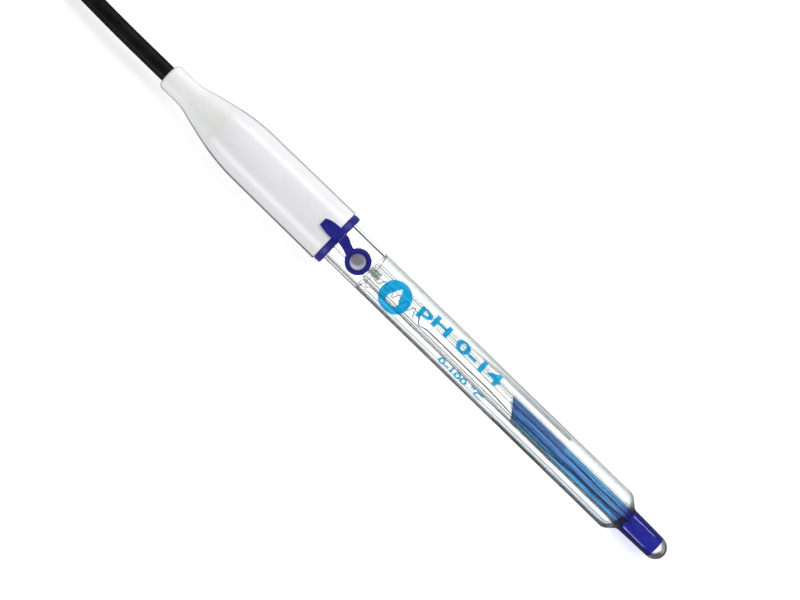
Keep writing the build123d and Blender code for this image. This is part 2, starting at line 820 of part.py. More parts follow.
# Bayonet sleeve: bore, fluted grip, retaining lip and two ramped slots
grip_radius = grip_diameter / 2
front_radius = sleeve_front_diameter / 2
sleeve_bore = sleeve_bore_diameter / 2
room_radius = sleeve_room_diameter / 2
neck_radius = body_neck_diameter / 2
lip_radius = neck_radius + plug_running_clearance
with BuildPart() as plug_sleeve:
    with BuildSketch(plug_section):
        with BuildLine():
            Polyline(
                (0, sleeve_bore),
                (0, front_radius - sleeve_chamfer),
                (sleeve_chamfer, front_radius),
                (grip_start, front_radius),
                (grip_start, grip_radius - sleeve_chamfer),
                (grip_start + sleeve_chamfer, grip_radius),
                (sleeve_length - sleeve_chamfer, grip_radius),
                (sleeve_length, grip_radius - sleeve_chamfer),
                (sleeve_length, lip_radius),
                (sleeve_length - sleeve_lip, lip_radius),
                (sleeve_length - sleeve_lip, room_radius),
                (sleeve_bore_depth, room_radius),
                (sleeve_bore_depth, sleeve_bore),
                close=True,
            )
        make_face()
    revolve(axis=plug_axis)
    with BuildSketch(plug_plane(sleeve_length)):
        with PolarLocations(grip_radius + flute_radius / 2, flute_count):
            Circle(flute_radius)
    extrude(amount=sleeve_length - grip_start - sleeve_chamfer, mode=Mode.SUBTRACT)
    step_angle = slot_turn / slot_steps
    step_rise = (slot_depth - slot_lead_in) / slot_steps
    step_reach = 2 * front_radius * math.sin(math.radians(step_angle / 2))
    step_length = math.hypot(step_rise, step_reach)
    step_lean = math.degrees(math.atan2(step_reach, step_rise))
    for side in (0, 180):
        entry = math.radians(side)
        outward = (0, math.cos(entry), math.sin(entry))
        with BuildSketch(Plane(origin=plug_face, x_dir=(-1, 0, 0), z_dir=outward)):
            with Locations((slot_lead_in / 2 - slot_width / 2, 0)):
                Rectangle(slot_lead_in + slot_width, slot_width)
            with Locations((slot_lead_in, 0)):
                Circle(slot_width / 2)
        extrude(amount=grip_radius, mode=Mode.SUBTRACT)
        for step in range(slot_steps):
            bearing = math.radians(side - step_angle * (step + 0.5))
            outward = (0, math.cos(bearing), math.sin(bearing))
            with BuildSketch(Plane(origin=plug_face, x_dir=(-1, 0, 0), z_dir=outward)):
                with Locations((slot_lead_in + step_rise * (step + 0.5), 0)):
                    SlotCenterToCenter(step_length, slot_width, rotation=step_lean)
            extrude(amount=grip_radius, mode=Mode.SUBTRACT)

# Plug body: flange held in the sleeve, round neck, grip section and crimp neck
flange_front = sleeve_bore_depth + flange_gap
flange_back = flange_front + flange_thickness
flange_radius = flange_diameter / 2
contact_radius = contact_outer_diameter / 2
contact_bore = contact_radius - contact_wall
insulator_radius = contact_bore - sealed_gap
with BuildPart() as plug_body:
    with BuildSketch(plug_section):
        with BuildLine():
            Polyline(
                (flange_front, contact_bore),
                (flange_front, flange_radius),
                (flange_back, flange_radius),
                (flange_back, neck_radius),
                (body_end - sleeve_chamfer, neck_radius),
                (body_end, neck_radius - sleeve_chamfer),
                (body_end, cable_radius),
                (jacket_stop, cable_radius),
                (jacket_stop, core_diameter / 2),
                (insulator_end, core_diameter / 2),
                (insulator_end, contact_bore),
                close=True,
            )
        make_face()
    revolve(axis=plug_axis)

# Sprung outer contact: a slit tube that stands out of the body
with BuildPart() as plug_contact:
    plug_ring(contact_radius, contact_bore, contact_front, flange_front)
    for slit in range(contact_slits):
        bearing = math.radians(45 + 360 / contact_slits * slit)
        outward = (0, math.cos(bearing), math.sin(bearing))
        with BuildSketch(Plane(origin=plug_face, x_dir=(-1, 0, 0), z_dir=outward)):
            with Locations((contact_front + contact_slit_depth / 2, 0)):
                Rectangle(contact_slit_depth, contact_slit_width)
        extrude(amount=grip_radius, mode=Mode.SUBTRACT)

# White insulator with a recess round the pin, and the pin with its crimp barrel
with BuildPart() as plug_pin:
    plug_ring(pin_diameter / 2, 0, pin_front, insulator_end)
    fillet(edges().sort_by(Axis.X)[-1], pin_diameter / 4)
    plug_ring(pin_crimp_diameter / 2, 0, pin_crimp_start, insulator_end)

with BuildPart() as plug_insulator:
    plug_ring(insulator_radius, 0, insulator_front, insulator_end)
    with BuildSketch(plug_plane(insulator_front + insulator_recess_depth)):
        Circle(insulator_recess_diameter / 2)
    extrude(amount=insulator_recess_depth, mode=Mode.SUBTRACT)
    add(plug_pin.part, mode=Mode.SUBTRACT)

# Core of the cable inside the crimp neck, silicone gasket, and the coned spring washer
with BuildPart() as plug_core:
    plug_ring(core_diameter / 2 - sealed_gap, 0, insulator_end, jacket_stop)

with BuildPart() as plug_gasket:
    plug_ring(gasket_diameter / 2, contact_radius, flange_front - gasket_thickness, flange_front)

with BuildPart() as plug_washer:
    with BuildSketch(plug_section):
        with BuildLine():
            Polyline(
                (flange_back, flange_radius),
                (flange_back, flange_radius - washer_thickness),
                (flange_back + washer_height, neck_radius + sealed_gap),
                (flange_back + washer_height, neck_radius + sealed_gap + washer_thickness),
                close=True,
            )
        make_face()
    revolve(axis=plug_axis)

# Crimped ferrule over the neck and jacket, and the ribbed boot over both
ferrule_radius = cable_radius + cable_clearance + ferrule_wall
with BuildPart() as plug_ferrule:
    plug_ring(ferrule_radius, cable_radius + cable_clearance, body_end, body_end + ferrule_length)

with BuildPart() as plug_boot:
    with BuildSketch(plug_section):
        with BuildLine():
            boot_line = FilletPolyline(
                (boot_front, neck_radius - sleeve_chamfer),
                (boot_front, plug_boot_front_diameter / 2),
                (boot_front - plug_boot_seat + plug_boot_length / 3, plug_boot_front_diameter / 2),
                (boot_back, plug_boot_rear_diameter / 2),
                (boot_back, cable_radius + cable_clearance),
                radius=plug_boot_rounds,
            )
            Polyline(
                boot_line @ 1,
                (body_end + ferrule_length, cable_radius + cable_clearance),
                (body_end + ferrule_length, ferrule_radius),
                (boot_front, ferrule_radius),
                boot_line @ 0,
            )
        make_face()
    revolve(axis=plug_axis)
    groove_step = (plug_boot_length / 2) / plug_boot_grooves
    for groove in range(plug_boot_grooves):
        place = boot_back - plug_boot_groove_start - groove_step * groove
        outer = plug_boot_front_diameter
        slope = (plug_boot_front_diameter - plug_boot_rear_diameter) / 2 / (plug_boot_length * 2 / 3)
        floor = plug_boot_rear_diameter / 2 + slope * (boot_back - place) - plug_boot_groove_depth
        with BuildSketch(plug_plane(place)):
            Circle(outer)
            Circle(floor, mode=Mode.SUBTRACT)
        extrude(amount=plug_boot_groove_width, mode=Mode.SUBTRACT)

pieces = {
    "cap": cap,
    "boot": boot,
    "potting": potting,
    "top_seal": top_seal,
    "tube_plug": tube_plug,
    "outer_tube": outer_tube,
    "inner_tube": inner_tube,
    "membrane": membrane,
    "electrolyte": electrolyte,
    "inner_gel": inner_gel,
    "fibre_plug": fibre_plug,
    "lead_coil": lead_coil,
    "element_wire": element_wire,
    "return_wire": return_wire,
    "reference_wire": reference_wire,
    "junction": junction,
    "print_film": print_film,
    "stopper_band": stopper_band,
    "fill_stopper": fill_stopper,
    "cable_core": cable_core,
    "core_splice": core_splice,
    "shield_pigtail": shield_pigtail,
    "shield_splice": shield_splice,
    "cable": cable,
    "cable_hank": cable_hank,
    "cable_tail": cable_tail,
    "hank_tie": hank_tie,
    "plug_boot": plug_boot,
    "plug_ferrule": plug_ferrule,
    "plug_body": plug_body,
    "plug_contact": plug_contact,
    "plug_insulator": plug_insulator,
    "plug_core": plug_core,
    "plug_pin": plug_pin,
    "plug_gasket": plug_gasket,
    "plug_washer": plug_washer,
    "plug_sleeve": plug_sleeve,
}
os.makedirs("parts", exist_ok=True)
for piece_name, piece in pieces.items():
    piece.part.label = piece_name
    export_step(piece.part, f"parts/{piece_name}.step")

print("lead-in arc radii", [round(radius, 1) for radius in lead_arcs])
print("tail arc radii", [round(radius, 1) for radius in tail_arcs])
for name, tube, line in (("cable", cable, cable_line), ("cable_tail", cable_tail, tail_line)):
    run_length = sum(edge.length for edge in line.edges())
    expected = math.pi * cable_radius ** 2 * run_length
    print(name, "volume", round(tube.part.volume, 1), "expected", round(expected, 1))
    print(name, "length", round(run_length, 1))
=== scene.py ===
"""Looks of a combination pH electrode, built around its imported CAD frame."""

import functools
import logging
import math
import random
from collections.abc import Callable, Iterable
from dataclasses import dataclass, field
from enum import Enum, IntEnum

import bmesh
import bpy
from mathutils import Matrix, Vector


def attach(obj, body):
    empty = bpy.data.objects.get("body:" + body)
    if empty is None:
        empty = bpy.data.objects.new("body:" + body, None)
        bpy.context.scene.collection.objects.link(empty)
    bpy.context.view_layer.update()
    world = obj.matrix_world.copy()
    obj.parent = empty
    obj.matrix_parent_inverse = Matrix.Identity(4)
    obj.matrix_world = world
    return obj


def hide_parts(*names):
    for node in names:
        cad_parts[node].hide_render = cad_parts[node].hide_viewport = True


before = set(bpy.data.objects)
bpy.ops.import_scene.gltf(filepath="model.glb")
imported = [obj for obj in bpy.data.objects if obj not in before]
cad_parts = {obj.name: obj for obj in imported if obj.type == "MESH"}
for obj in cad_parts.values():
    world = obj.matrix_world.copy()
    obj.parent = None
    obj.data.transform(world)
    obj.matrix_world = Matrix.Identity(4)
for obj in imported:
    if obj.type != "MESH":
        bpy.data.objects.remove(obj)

LOG = logging.getLogger("electrode")
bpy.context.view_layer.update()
MM = 0.001
BODY = "electrode"
STOPPER_BODY = "stopper"
COUPLING_BODY = "coupling"

Colour = tuple[float, float, float]
Point = tuple[float, float, float]
Profile = list[tuple[float, float]]
Socket = bpy.types.NodeSocket
Piece = bpy.types.Object

# Ranges that most of a noise's values lie in
PATCHY = (0.35, 0.65)
LINED = (0.3, 0.7)
WHITE = (1.0, 1.0, 1.0)

# Depths of fine reliefs, in metres
GRAIN_DEPTH = 0.0001
LINE_DEPTH = 0.00005
WAVE_DEPTH = 0.0003
WEAVE_DEPTH = 0.0002

# Millimetres within which points merge, in a new mesh and at a cut, and metres in a CAD node
SEAM = 1e-4
CUT_SEAM = 1e-5
NODE_SEAM = 2e-6

# What is smaller than this has no size
SLIVER = 1e-9


@dataclass(frozen=True)
class Lie:
    """How the electrode lies: on the round of its cap's rim and the round of its glass shoulder.

    Lengths are millimetres, and distances along the electrode start at the cap's rim.
    """

    cap_rim_radius: float = 8.1
    cap_edge_round: float = 0.3
    shaft_radius: float = 6.0
    stem_radius: float = 3.45
    shoulder_start: float = 103.2
    shoulder_end: float = 106.0
    shoulder_round: float = 3.0
    length_without_cable: float = 60.0
    collar_radius: float = 3.75
    collar_round: float = 1.2

    @property
    def tilt(self) -> float:
        """Angle in radians by which the tip lies lower than the cap.

        Returns:
            The angle.
        """
        slope = math.atan2(
            self.shaft_radius - self.stem_radius, self.shoulder_end - self.shoulder_start
        )
        centre = self.shoulder_start - self.shoulder_round * math.tan(slope / 2)
        span = centre + self.cap_edge_round
        drop = (self.cap_rim_radius - self.cap_edge_round) - (self.shaft_radius - self.shoulder_round)
        bulge = self.shoulder_round - self.cap_edge_round
        return math.acos(bulge / math.hypot(span, drop)) - math.atan2(span, drop)

    @property
    def rim(self) -> Vector:
        """Centre of the cap's rim in the row frame, in millimetres.

        Returns:
            The point.
        """
        lean, level = math.sin(self.tilt), math.cos(self.tilt)
        seat = self.cap_rim_radius - self.cap_edge_round
        height = seat * level - self.cap_edge_round * lean + self.cap_edge_round
        shift = (self.collar_radius - self.collar_round) * lean / 2
        return Vector((-self.length_without_cable * level / 2 + shift, 0.0, height))

    @property
    def place(self) -> Matrix:
        """Matrix from the electrode's own millimetres to the row frame's metres."""
        turn = Matrix.Rotation(self.tilt, 4, "Y")
        return Matrix.Translation(self.rim * MM) @ turn @ Matrix.Scale(MM, 4)


LIE = Lie()


def spot(distance: float, side: float = 0.0, height: float = 0.0) -> Vector:
    """Point of the row frame, in metres, from a place in the electrode's own millimetres."""
    return LIE.place @ Vector((distance, side, height))


def scaled(parts: Point, share: float) -> Point:
    """A colour or a point with its three parts multiplied by a number."""
    return tuple(part * share for part in parts)


# Shader tools


class Graph:
    """Adds and links the nodes of one material, world or node group."""

    def __init__(self, tree: bpy.types.NodeTree) -> None:
        """Keeps the tree that the nodes go into."""
        self.tree = tree

    def feed(self, socket: Socket, value: object) -> None:
        """Links a socket to another, or sets its plain value; a colour gets its alpha.

        Args:
            socket: the input.
            value: another socket, or a number, vector or colour.
        """
        if isinstance(value, Socket):
            self.tree.links.new(value, socket)
        elif socket.type == "RGBA":
            socket.default_value = (*value, 1.0)
        else:
            socket.default_value = value

    def add(self, kind: str, inputs: dict | None = None, **settings: object) -> bpy.types.Node:
        """Adds a shader node.

        Args:
            kind: the node's type name without its first part.
            inputs: values or sockets by input name or number.
            settings: the node's own properties.

        Returns:
            The new node.
        """
        node = self.tree.nodes.new("ShaderNode" + kind)
        for key, value in settings.items():
            setattr(node, key, value)
        for key, value in (inputs or {}).items():
            self.feed(node.inputs[key], value)
        return node

    def get(
        self, kind: str, inputs: dict | None = None, output: int | str = 0, **settings: object
    ) -> Socket:
        """Adds a shader node and gives one of its outputs."""
        return self.add(kind, inputs, **settings).outputs[output]

    def blend(self, factor: object, low: object, high: object) -> Socket:
        """Mixes two colours by a factor."""
        return self.get("Mix", {0: factor, 6: low, 7: high}, 2, data_type="RGBA")

    def mix(self, factor: object, first: Socket, second: Socket) -> Socket:
        """Mixes two shaders by a factor."""
        return self.get("MixShader", {0: factor, 1: first, 2: second})

    def math(self, operation: str, *values: object) -> Socket:
        """One Math node on the given values."""
        return self.get("Math", dict(enumerate(values)), operation=operation)

    def span(
        self, value: object, low: float, high: float, to_low: float = 0.0, to_high: float = 1.0
    ) -> Socket:
        """Maps a value from one range to another, held at its ends."""
        return self.get("MapRange", {0: value, 1: low, 2: high, 3: to_low, 4: to_high})

    def spread(self, value: object, middle: float, change: float) -> Socket:
        """Maps a noise to values on both sides of a middle."""
        low = middle - change / 2
        return self.span(value, *LINED, low, low + change)

    def ramp(self, value: object, stops: tuple[tuple[float, Colour], ...]) -> Socket:
        """Colour by a value, between stops of place and colour.

        Args:
            value: the number to look up.
            stops: places from 0 to 1 with their colours.

        Returns:
            The colour.
        """
        node = self.add("ValToRGB", {0: value})
        elements = node.color_ramp.elements
        for _ in stops[2:]:
            elements.new(0.5)
        for element, (place, _) in zip(elements, stops):
            element.position = place
        for element, (_, colour) in zip(elements, stops):
            element.color = (*colour, 1.0)
        return node.outputs[0]

    def bump(self, height: Socket, strength: float, distance: float) -> Socket:
        """Normal of a surface with a small relief."""
        return self.get("Bump", {"Height": height, "Strength": strength, "Distance": distance})

    def own_millimetres(self) -> Socket:
        """Object coordinates turned and centred to the electrode's own millimetres.

        Returns:
            The coordinates.
        """
        inputs = {
            "Vector": self.get("TexCoord", output="Object"),
            "Location": -(Matrix.Rotation(-LIE.tilt, 4, "Y") @ LIE.rim),
            "Rotation": (0.0, -LIE.tilt, 0.0),
            "Scale": (1 / MM,) * 3,
        }
        return self.get("Mapping", inputs)

    def parts(self, vector: Socket) -> list[Socket]:
        """The three parts of a vector."""
        return list(self.add("SeparateXYZ", {0: vector}).outputs)

    def facing(self) -> Socket:
        """How far the face turns away from the ray, from 0 to 1."""
        return self.get("LayerWeight", {"Blend": 0.5}, "Facing")

    def behind(self) -> Socket:
        """1 where the ray meets the face from inside the piece."""
        return self.get("NewGeometry", output="Backfacing")

    def effect(self, effect: "Effect", place: Socket, **inputs: float) -> list[Socket]:
        """Outputs of a shared effect's node group."""
        node = self.add("Group", {"Vector": place, **inputs}, node_tree=effect.tree())
        return list(node.outputs)


class Effect(Enum):
    """Effects that several materials share, each one a node group."""

    MOTTLE = "mottle"
    STREAKS = "streaks"
    WEAVE = "weave"

    def tree(self) -> bpy.types.NodeTree:
        """The effect's node group, built the first time."""
        return bpy.data.node_groups.get(self.value) or GROUP_MAKERS[self]()


def group_shell(effect: Effect, inputs: tuple[str, ...], outputs: tuple[str, ...]) -> tuple:
    """Starts a node group that takes a vector and numbers, and gives numbers.

    Args:
        effect: the effect whose name the group gets.
        inputs: names of the numbers that it takes.
        outputs: names of the numbers that it gives.

    Returns:
        The group's graph, the sockets that come in, and the sockets that go out.
    """
    tree = bpy.data.node_groups.new(effect.value, "ShaderNodeTree")
    tree.interface.new_socket("Vector", in_out="INPUT", socket_type="NodeSocketVector")
    for in_out, names in (("INPUT", inputs), ("OUTPUT", outputs)):
        for name in names:
            tree.interface.new_socket(name, in_out=in_out, socket_type="NodeSocketFloat")
    start, end = tree.nodes.new("NodeGroupInput"), tree.nodes.new("NodeGroupOutput")
    return Graph(tree), start.outputs, end.inputs


def mottle_group() -> bpy.types.NodeTree:
    """Soft patches with a fine grain over them, for mouldings, rubber and metal.

    Returns:
        The node group.
    """
    names = ("Patches", "Grain")
    graph, start, end = group_shell(Effect.MOTTLE, names, names)
    for name, detail in zip(names, (3.0, 1.0)):
        inputs = {"Vector": start["Vector"], "Scale": start[name], "Detail": detail}
        graph.feed(end[name], graph.get("TexNoise", inputs))
    return graph.tree


def streaks_group() -> bpy.types.NodeTree:
    """Uneven lines drawn out along the electrode, for glass, gel and drawn wire.

    Returns:
        The node group.
    """
    graph, start, end = group_shell(Effect.STREAKS, ("Stretch", "Scale"), ("Lines",))
    x, y, z = graph.parts(start["Vector"])
    drawn = graph.math("MULTIPLY", x, start["Stretch"])
    vector = graph.get("CombineXYZ", {0: drawn, 1: y, 2: z})
    inputs = {"Vector": vector, "Scale": start["Scale"], "Detail": 2.0}
    graph.feed(end["Lines"], graph.get("TexNoise", inputs))
    return graph.tree


def weave_group() -> bpy.types.NodeTree:
    """Crossing ribs of a woven tape.

    Returns:
        The node group.
    """
    graph, start, end = group_shell(Effect.WEAVE, ("Pitch",), ("Ribs",))
    inputs = {"Vector": start["Vector"], "Scale": start["Pitch"]}
    waves = [graph.get("TexWave", inputs, "Fac", bands_direction=axis) for axis in ("X", "Z")]
    graph.feed(end["Ribs"], graph.math("MULTIPLY", *waves))
    return graph.tree


GROUP_MAKERS = {
    Effect.MOTTLE: mottle_group,
    Effect.STREAKS: streaks_group,
    Effect.WEAVE: weave_group,
}


def make_material(name: str, surface: Callable[[Graph], Socket]) -> bpy.types.Material:
    """A material whose shader is built by a function.

    Args:
        name: the material's name.
        surface: builds the shader in a graph.

    Returns:
        The new material.
    """
    material = bpy.data.materials.new(name)
    material.use_nodes = True
    material.node_tree.nodes.clear()
    graph = Graph(material.node_tree)
    graph.add("OutputMaterial", {0: surface(graph)})
    return material


# Finishes


@dataclass(frozen=True)
class Finish:
    """A named finish."""

    name: str

    def surface(self, graph: Graph) -> Socket:
        """Builds the finish's shader."""
        raise NotImplementedError

    @functools.cache
    def material(self) -> bpy.types.Material:
        """The finish's material, built the first time."""
        return make_material(self.name, self.surface)


@dataclass(frozen=True)
class Moulding(Finish):
    """Moulded plastic, rubber, resin or ceramic: soft patches of tone and a fine grain.

    Its silhouette can be darkened with painted shade, stronger on the side away from the main
    lamp, and painted shade can darken the end that shaded_end names by its start, its end and
    the amount.
    """

    colour: Colour
    shade: Colour
    roughness: float = 0.4
    roughness_change: float = 0.1
    patches: float = 0.12
    grain: float = 3.0
    bump: float = 0.05
    coat: float = 0.0
    subsurface: float = 0.0
    specular: float = 0.5
    # Painted shade at the silhouette: its strength, place, width, share on the far side and colour
    edge: float = 0.0
    rim_shade_place: float = 0.62
    rim_shade_width: float = 0.14
    rim_shade_far_share: float = 0.6
    rim_shade_colour: Colour = (0.03, 0.03, 0.032)
    shaded_end: tuple[float, float, float] = (0.0, 1.0, 0.0)
    end_share: float = 0.7
    coat_roughness: float = 0.15

    def surface(self, graph: Graph) -> Socket:
        """Builds the shader.

        Args:
            graph: the material's graph.

        Returns:
            The shader.
        """
        place = graph.own_millimetres()
        x, y, _ = graph.parts(place)
        patch, grain = graph.effect(
            Effect.MOTTLE, place, Patches=self.patches, Grain=self.grain
        )
        colour = graph.blend(graph.span(patch, *PATCHY), self.shade, self.colour)
        # Painted shade darkens one end of the piece
        start, end, amount = self.shaded_end
        darker = graph.span(x, start, end, 0.0, amount)
        colour = graph.blend(darker, colour, scaled(self.shade, self.end_share))
        # Painted shade at the silhouette, stronger on the side away from the main lamp
        strength = graph.span(y, -1.0, 1.0, self.edge, self.edge * self.rim_shade_far_share)
        edge = graph.span(graph.facing(), self.rim_shade_place, self.rim_shade_place + self.rim_shade_width)
        edge = graph.math("MULTIPLY", edge, strength)
        inputs = {
            "Base Color": graph.blend(edge, colour, self.rim_shade_colour),
            "Roughness": graph.spread(grain, self.roughness, self.roughness_change),
            "Normal": graph.bump(grain, self.bump, GRAIN_DEPTH),
            "Coat Weight": self.coat,
            "Coat Roughness": self.coat_roughness,
            "Subsurface Weight": self.subsurface,
            "Subsurface Scale": MM,
            "Specular IOR Level": self.specular,
        }
        return graph.get("BsdfPrincipled", inputs)


@dataclass(frozen=True)
class Metal(Finish):
    """Plated or drawn metal with fine turning lines and a little dulling."""

    colour: Colour
    dull: Colour
    roughness: float = 0.2
    roughness_change: float = 0.12
    stretch: float = 6.0
    scale: float = 0.8
    bump: float = 0.05
    patches: float = 0.25
    grain: float = 2.0

    def surface(self, graph: Graph) -> Socket:
        """Builds the shader.

        Args:
            graph: the material's graph.

        Returns:
            The shader.
        """
        place = graph.own_millimetres()
        lines = graph.effect(Effect.STREAKS, place, Stretch=self.stretch, Scale=self.scale)[0]
        mottle = graph.effect(Effect.MOTTLE, place, Patches=self.patches, Grain=self.grain)
        inputs = {
            "Base Color": graph.blend(graph.span(mottle[0], *PATCHY), self.dull, self.colour),
            "Roughness": graph.spread(lines, self.roughness, self.roughness_change),
            "Metallic": 1.0,
            "Normal": graph.bump(lines, self.bump, LINE_DEPTH),
        }
        return graph.get("BsdfPrincipled", inputs)


@dataclass(frozen=True)
class ClearWall(Finish):
    """A clear face between two materials, such as glass and air, that lets lamps through.

    Its edges are darkened with painted shade, greyer towards them and dark at the rim, with thin
    painted dark lines on its inner faces and a painted reflection of something dark over one run.
    The near side is the one away from the main lamp; its painted edges are darker. Places are
    values of how far the face turns away from the ray, from 0 to 1. Runs are distances along the
    electrode, over which the face turns wet, the tip starts, and its dome starts.
    """

    ior: float
    # Painted shade: colours of the dark rims on the near and the far side
    near_rim_shade: Colour = (0.03, 0.032, 0.035)
    far_rim_shade: Colour = (0.32, 0.34, 0.35)
    rim_place: float = 0.52
    rim_width: float = 0.12
    dry_change: float = 0.2
    tip_change: float = -0.16
    near_change: float = -0.11
    # Painted reflection: a band of something dark mirrored in the near rim over a run of the wall
    painted_brown_reflection: Colour = (0.012, 0.008, 0.006)
    brown_reflection_run: tuple[float, float] = (62.0, 81.5)
    wet_run: tuple[float, float] = (13.0, 13.6)
    tip_run: tuple[float, float] = (100.0, 104.0)
    tip_dark_run: tuple[float, float] = (102.0, 104.0)
    tip_dark: float = 0.95
    dome_run: tuple[float, float] = (116.0, 118.0)
    # Painted shade: the glass turns greyer towards its edges, with one tone dry and one wet
    dry_edge_shade: Colour = (0.84, 0.865, 0.86)
    wet_edge_shade: Colour = (0.3, 0.34, 0.33)
    edge_shade_place: float = 0.24
    tint: Colour = (0.985, 0.99, 0.988)
    shadow: Colour = (0.95, 0.96, 0.955)
    roughness: float = 0.0
    waves: float = 0.0015
    # Painted shade: thin dark lines on the inner faces, their places, strengths and colour
    line: tuple[float, float] = (0.268, 0.312)
    line_near: float = 0.75
    line_far: float = 0.95
    painted_line_colour: Colour = (0.012, 0.013, 0.014)
    bore_line: tuple[float, float] = (0.37, 0.5)
    bore_strength: float = 0.75
    dry_bore_strength: float = 0.25
    bore_side: float = 3.2
    band_fade: tuple[float, float] = (0.006, 0.012)
    brown_reflection_fade: float = 0.1
    dome_share: float = 0.6
    tint_share: float = 0.96
    stretch: float = 0.04
    scale: float = 0.7

    def rim(self, graph: Graph, facing: Socket, x: Socket, side: Socket) -> tuple:
        """Mask of the face's dark edge of painted shade, and its colour on either side.

        Args:
            graph: the material's graph.
            facing: how far the face turns away from the ray.
            x: distance along the electrode.
            side: 0 on the near side and 1 on the far side.

        Returns:
            The mask and the colour.
        """
        place = self.rim_place
        for change in (
            graph.span(x, *self.wet_run, self.dry_change, 0.0),
            graph.span(side, 0.0, 1.0, self.near_change, 0.0),
            graph.span(x, *self.tip_run, 0.0, self.tip_change),
            graph.span(x, *self.dome_run, 0.0, self.tip_change * self.dome_share),
        ):
            place = graph.math("ADD", place, change)
        rise = graph.math("DIVIDE", graph.math("SUBTRACT", facing, place), self.rim_width)
        # Painted shade: the far rim turns as dark as the near one towards the tip
        tip = graph.span(x, *self.tip_dark_run, 0.0, self.tip_dark)
        far = graph.blend(tip, self.far_rim_shade, self.near_rim_shade)
        # Painted reflection of something dark on the near rim over a run of the wall
        start, end = self.brown_reflection_run
        rises = graph.span(x, start, start + self.brown_reflection_fade)
        falls = graph.span(x, end, end + self.brown_reflection_fade, 1.0, 0.0)
        brown = graph.math("MULTIPLY", rises, falls)
        near = graph.blend(brown, self.near_rim_shade, self.painted_brown_reflection)
        return graph.get("Clamp", {0: rise}), graph.blend(side, near, far)

    def band(self, graph: Graph, facing: Socket, low: float, high: float) -> Socket:
        """Mask of the faces that turn away between two amounts.

        Args:
            graph: the material's graph.
            facing: how far the face turns away from the ray.
            low: the smaller amount.
            high: the larger amount.

        Returns:
            The mask.
        """
        rise = graph.span(facing, low - self.band_fade[0], low)
        fall = graph.span(facing, high, high + self.band_fade[1], 1.0, 0.0)
        return graph.math("MULTIPLY", rise, fall)

    def painted_dark_lines(
        self, graph: Graph, facing: Socket, x: Socket, y: Socket, side: Socket
    ) -> Socket:
        """Mask of the dark lines of painted shade that stand for the inner faces turning the light
        back.

        Args:
            graph: the material's graph.
            facing: how far the face turns away from the ray.
            x: distance along the electrode.
            y: distance across the electrode.
            side: 0 on the near side and 1 on the far side.

        Returns:
            The mask.
        """
        outside = graph.math("GREATER_THAN", graph.math("ABSOLUTE", y), self.bore_side)
        strength = graph.span(side, 0.0, 1.0, self.line_near, self.line_far)
        wall = graph.math("MULTIPLY", self.band(graph, facing, *self.line), strength)
        wet = graph.span(x, *self.wet_run, self.dry_bore_strength, self.bore_strength)
        bore = graph.math("MULTIPLY", self.band(graph, facing, *self.bore_line), wet)
        return graph.math("MULTIPLY", graph.span(outside, 0.0, 1.0, bore, wall), graph.behind())

    def surface(self, graph: Graph) -> Socket:
        """Builds the shader.

        Args:
            graph: the material's graph.

        Returns:
            The shader.
        """
        place = graph.own_millimetres()
        x, y, _ = graph.parts(place)
        side, facing = graph.span(y, -0.5, 0.5), graph.facing()
        lines = graph.effect(Effect.STREAKS, place, Stretch=self.stretch, Scale=self.scale)[0]
        low = scaled(self.tint, self.tint_share)
        colour = graph.blend(graph.span(lines, *LINED), low, self.tint)
        # Painted shade: the glass's colour turns greyer towards its edges
        edge = graph.blend(graph.span(x, *self.wet_run), self.dry_edge_shade, self.wet_edge_shade)
        colour = graph.blend(graph.span(facing, self.edge_shade_place, self.rim_place), colour, edge)
        # Painted shade: the rims' mask and colour, mixed into the glass's colour
        rim, tone = self.rim(graph, facing, x, side)
        inputs = {
            "Base Color": graph.blend(rim, colour, tone),
            "Roughness": self.roughness,
            "IOR": self.ior,
            "Transmission Weight": 1.0,
            "Normal": graph.bump(lines, self.waves, WAVE_DEPTH),
        }
        glass = graph.get("BsdfPrincipled", inputs)
        # Painted shade: a dark matt shader for the thin lines on the inner faces
        dark = graph.get("BsdfDiffuse", {"Color": self.painted_line_colour})
        seen = graph.mix(self.painted_dark_lines(graph, facing, x, y, side), glass, dark)
        lamp = graph.get("BsdfTransparent", {0: self.shadow})
        return graph.mix(graph.get("LightPath", output="Is Shadow Ray"), seen, lamp)


@dataclass(frozen=True)
class ClearSkin(Finish):
    """A clear side that bends nothing, such as a liquid against its glass or a printed film.

    It covers more where it is seen edge on, as a dark line of painted shade, and has thin dark lines
    of painted shade at its ends.
    """

    colour: Colour
    cover: float
    roughness: float = 0.1
    # Painted shade where the skin is seen edge on: its cover, place and width
    rim_shade_cover: float = 0.0
    rim_shade_place: float = 0.88
    rim_shade_width: float = 0.06
    ends: tuple[float, ...] = ()
    end_cover: float = 0.7
    end_width: float = 0.14
    # Colour of the dark lines of painted shade
    dark: Colour = (0.02, 0.022, 0.024)
    cover_change: float = 1.2
    specular: float = 0.2
    stretch: float = 0.05
    scale: float = 0.9

    def surface(self, graph: Graph) -> Socket:
        """Builds the shader.

        Args:
            graph: the material's graph.

        Returns:
            The shader.
        """
        place = graph.own_millimetres()
        x = graph.parts(place)[0]
        lines = graph.effect(Effect.STREAKS, place, Stretch=self.stretch, Scale=self.scale)[0]
        cover = graph.spread(lines, self.cover, self.cover * self.cover_change)
        # Painted shade: a dark line where the skin is seen edge on, and dark lines at its ends
        rim_shade_end = self.rim_shade_place + self.rim_shade_width
        line = graph.span(graph.facing(), self.rim_shade_place, rim_shade_end, 0.0, self.rim_shade_cover)
        for end in self.ends:
            away = graph.math("ABSOLUTE", graph.math("SUBTRACT", x, end))
            mark = graph.span(away, self.end_width / 2, self.end_width, self.end_cover, 0.0)
            line = graph.math("MAXIMUM", line, mark)
        inputs = {
            "Base Color": graph.blend(line, self.colour, self.dark),
            "Roughness": self.roughness,
            "Specular IOR Level": self.specular,
            "Alpha": graph.math("MAXIMUM", cover, line),
        }
        return graph.get("BsdfPrincipled", inputs)


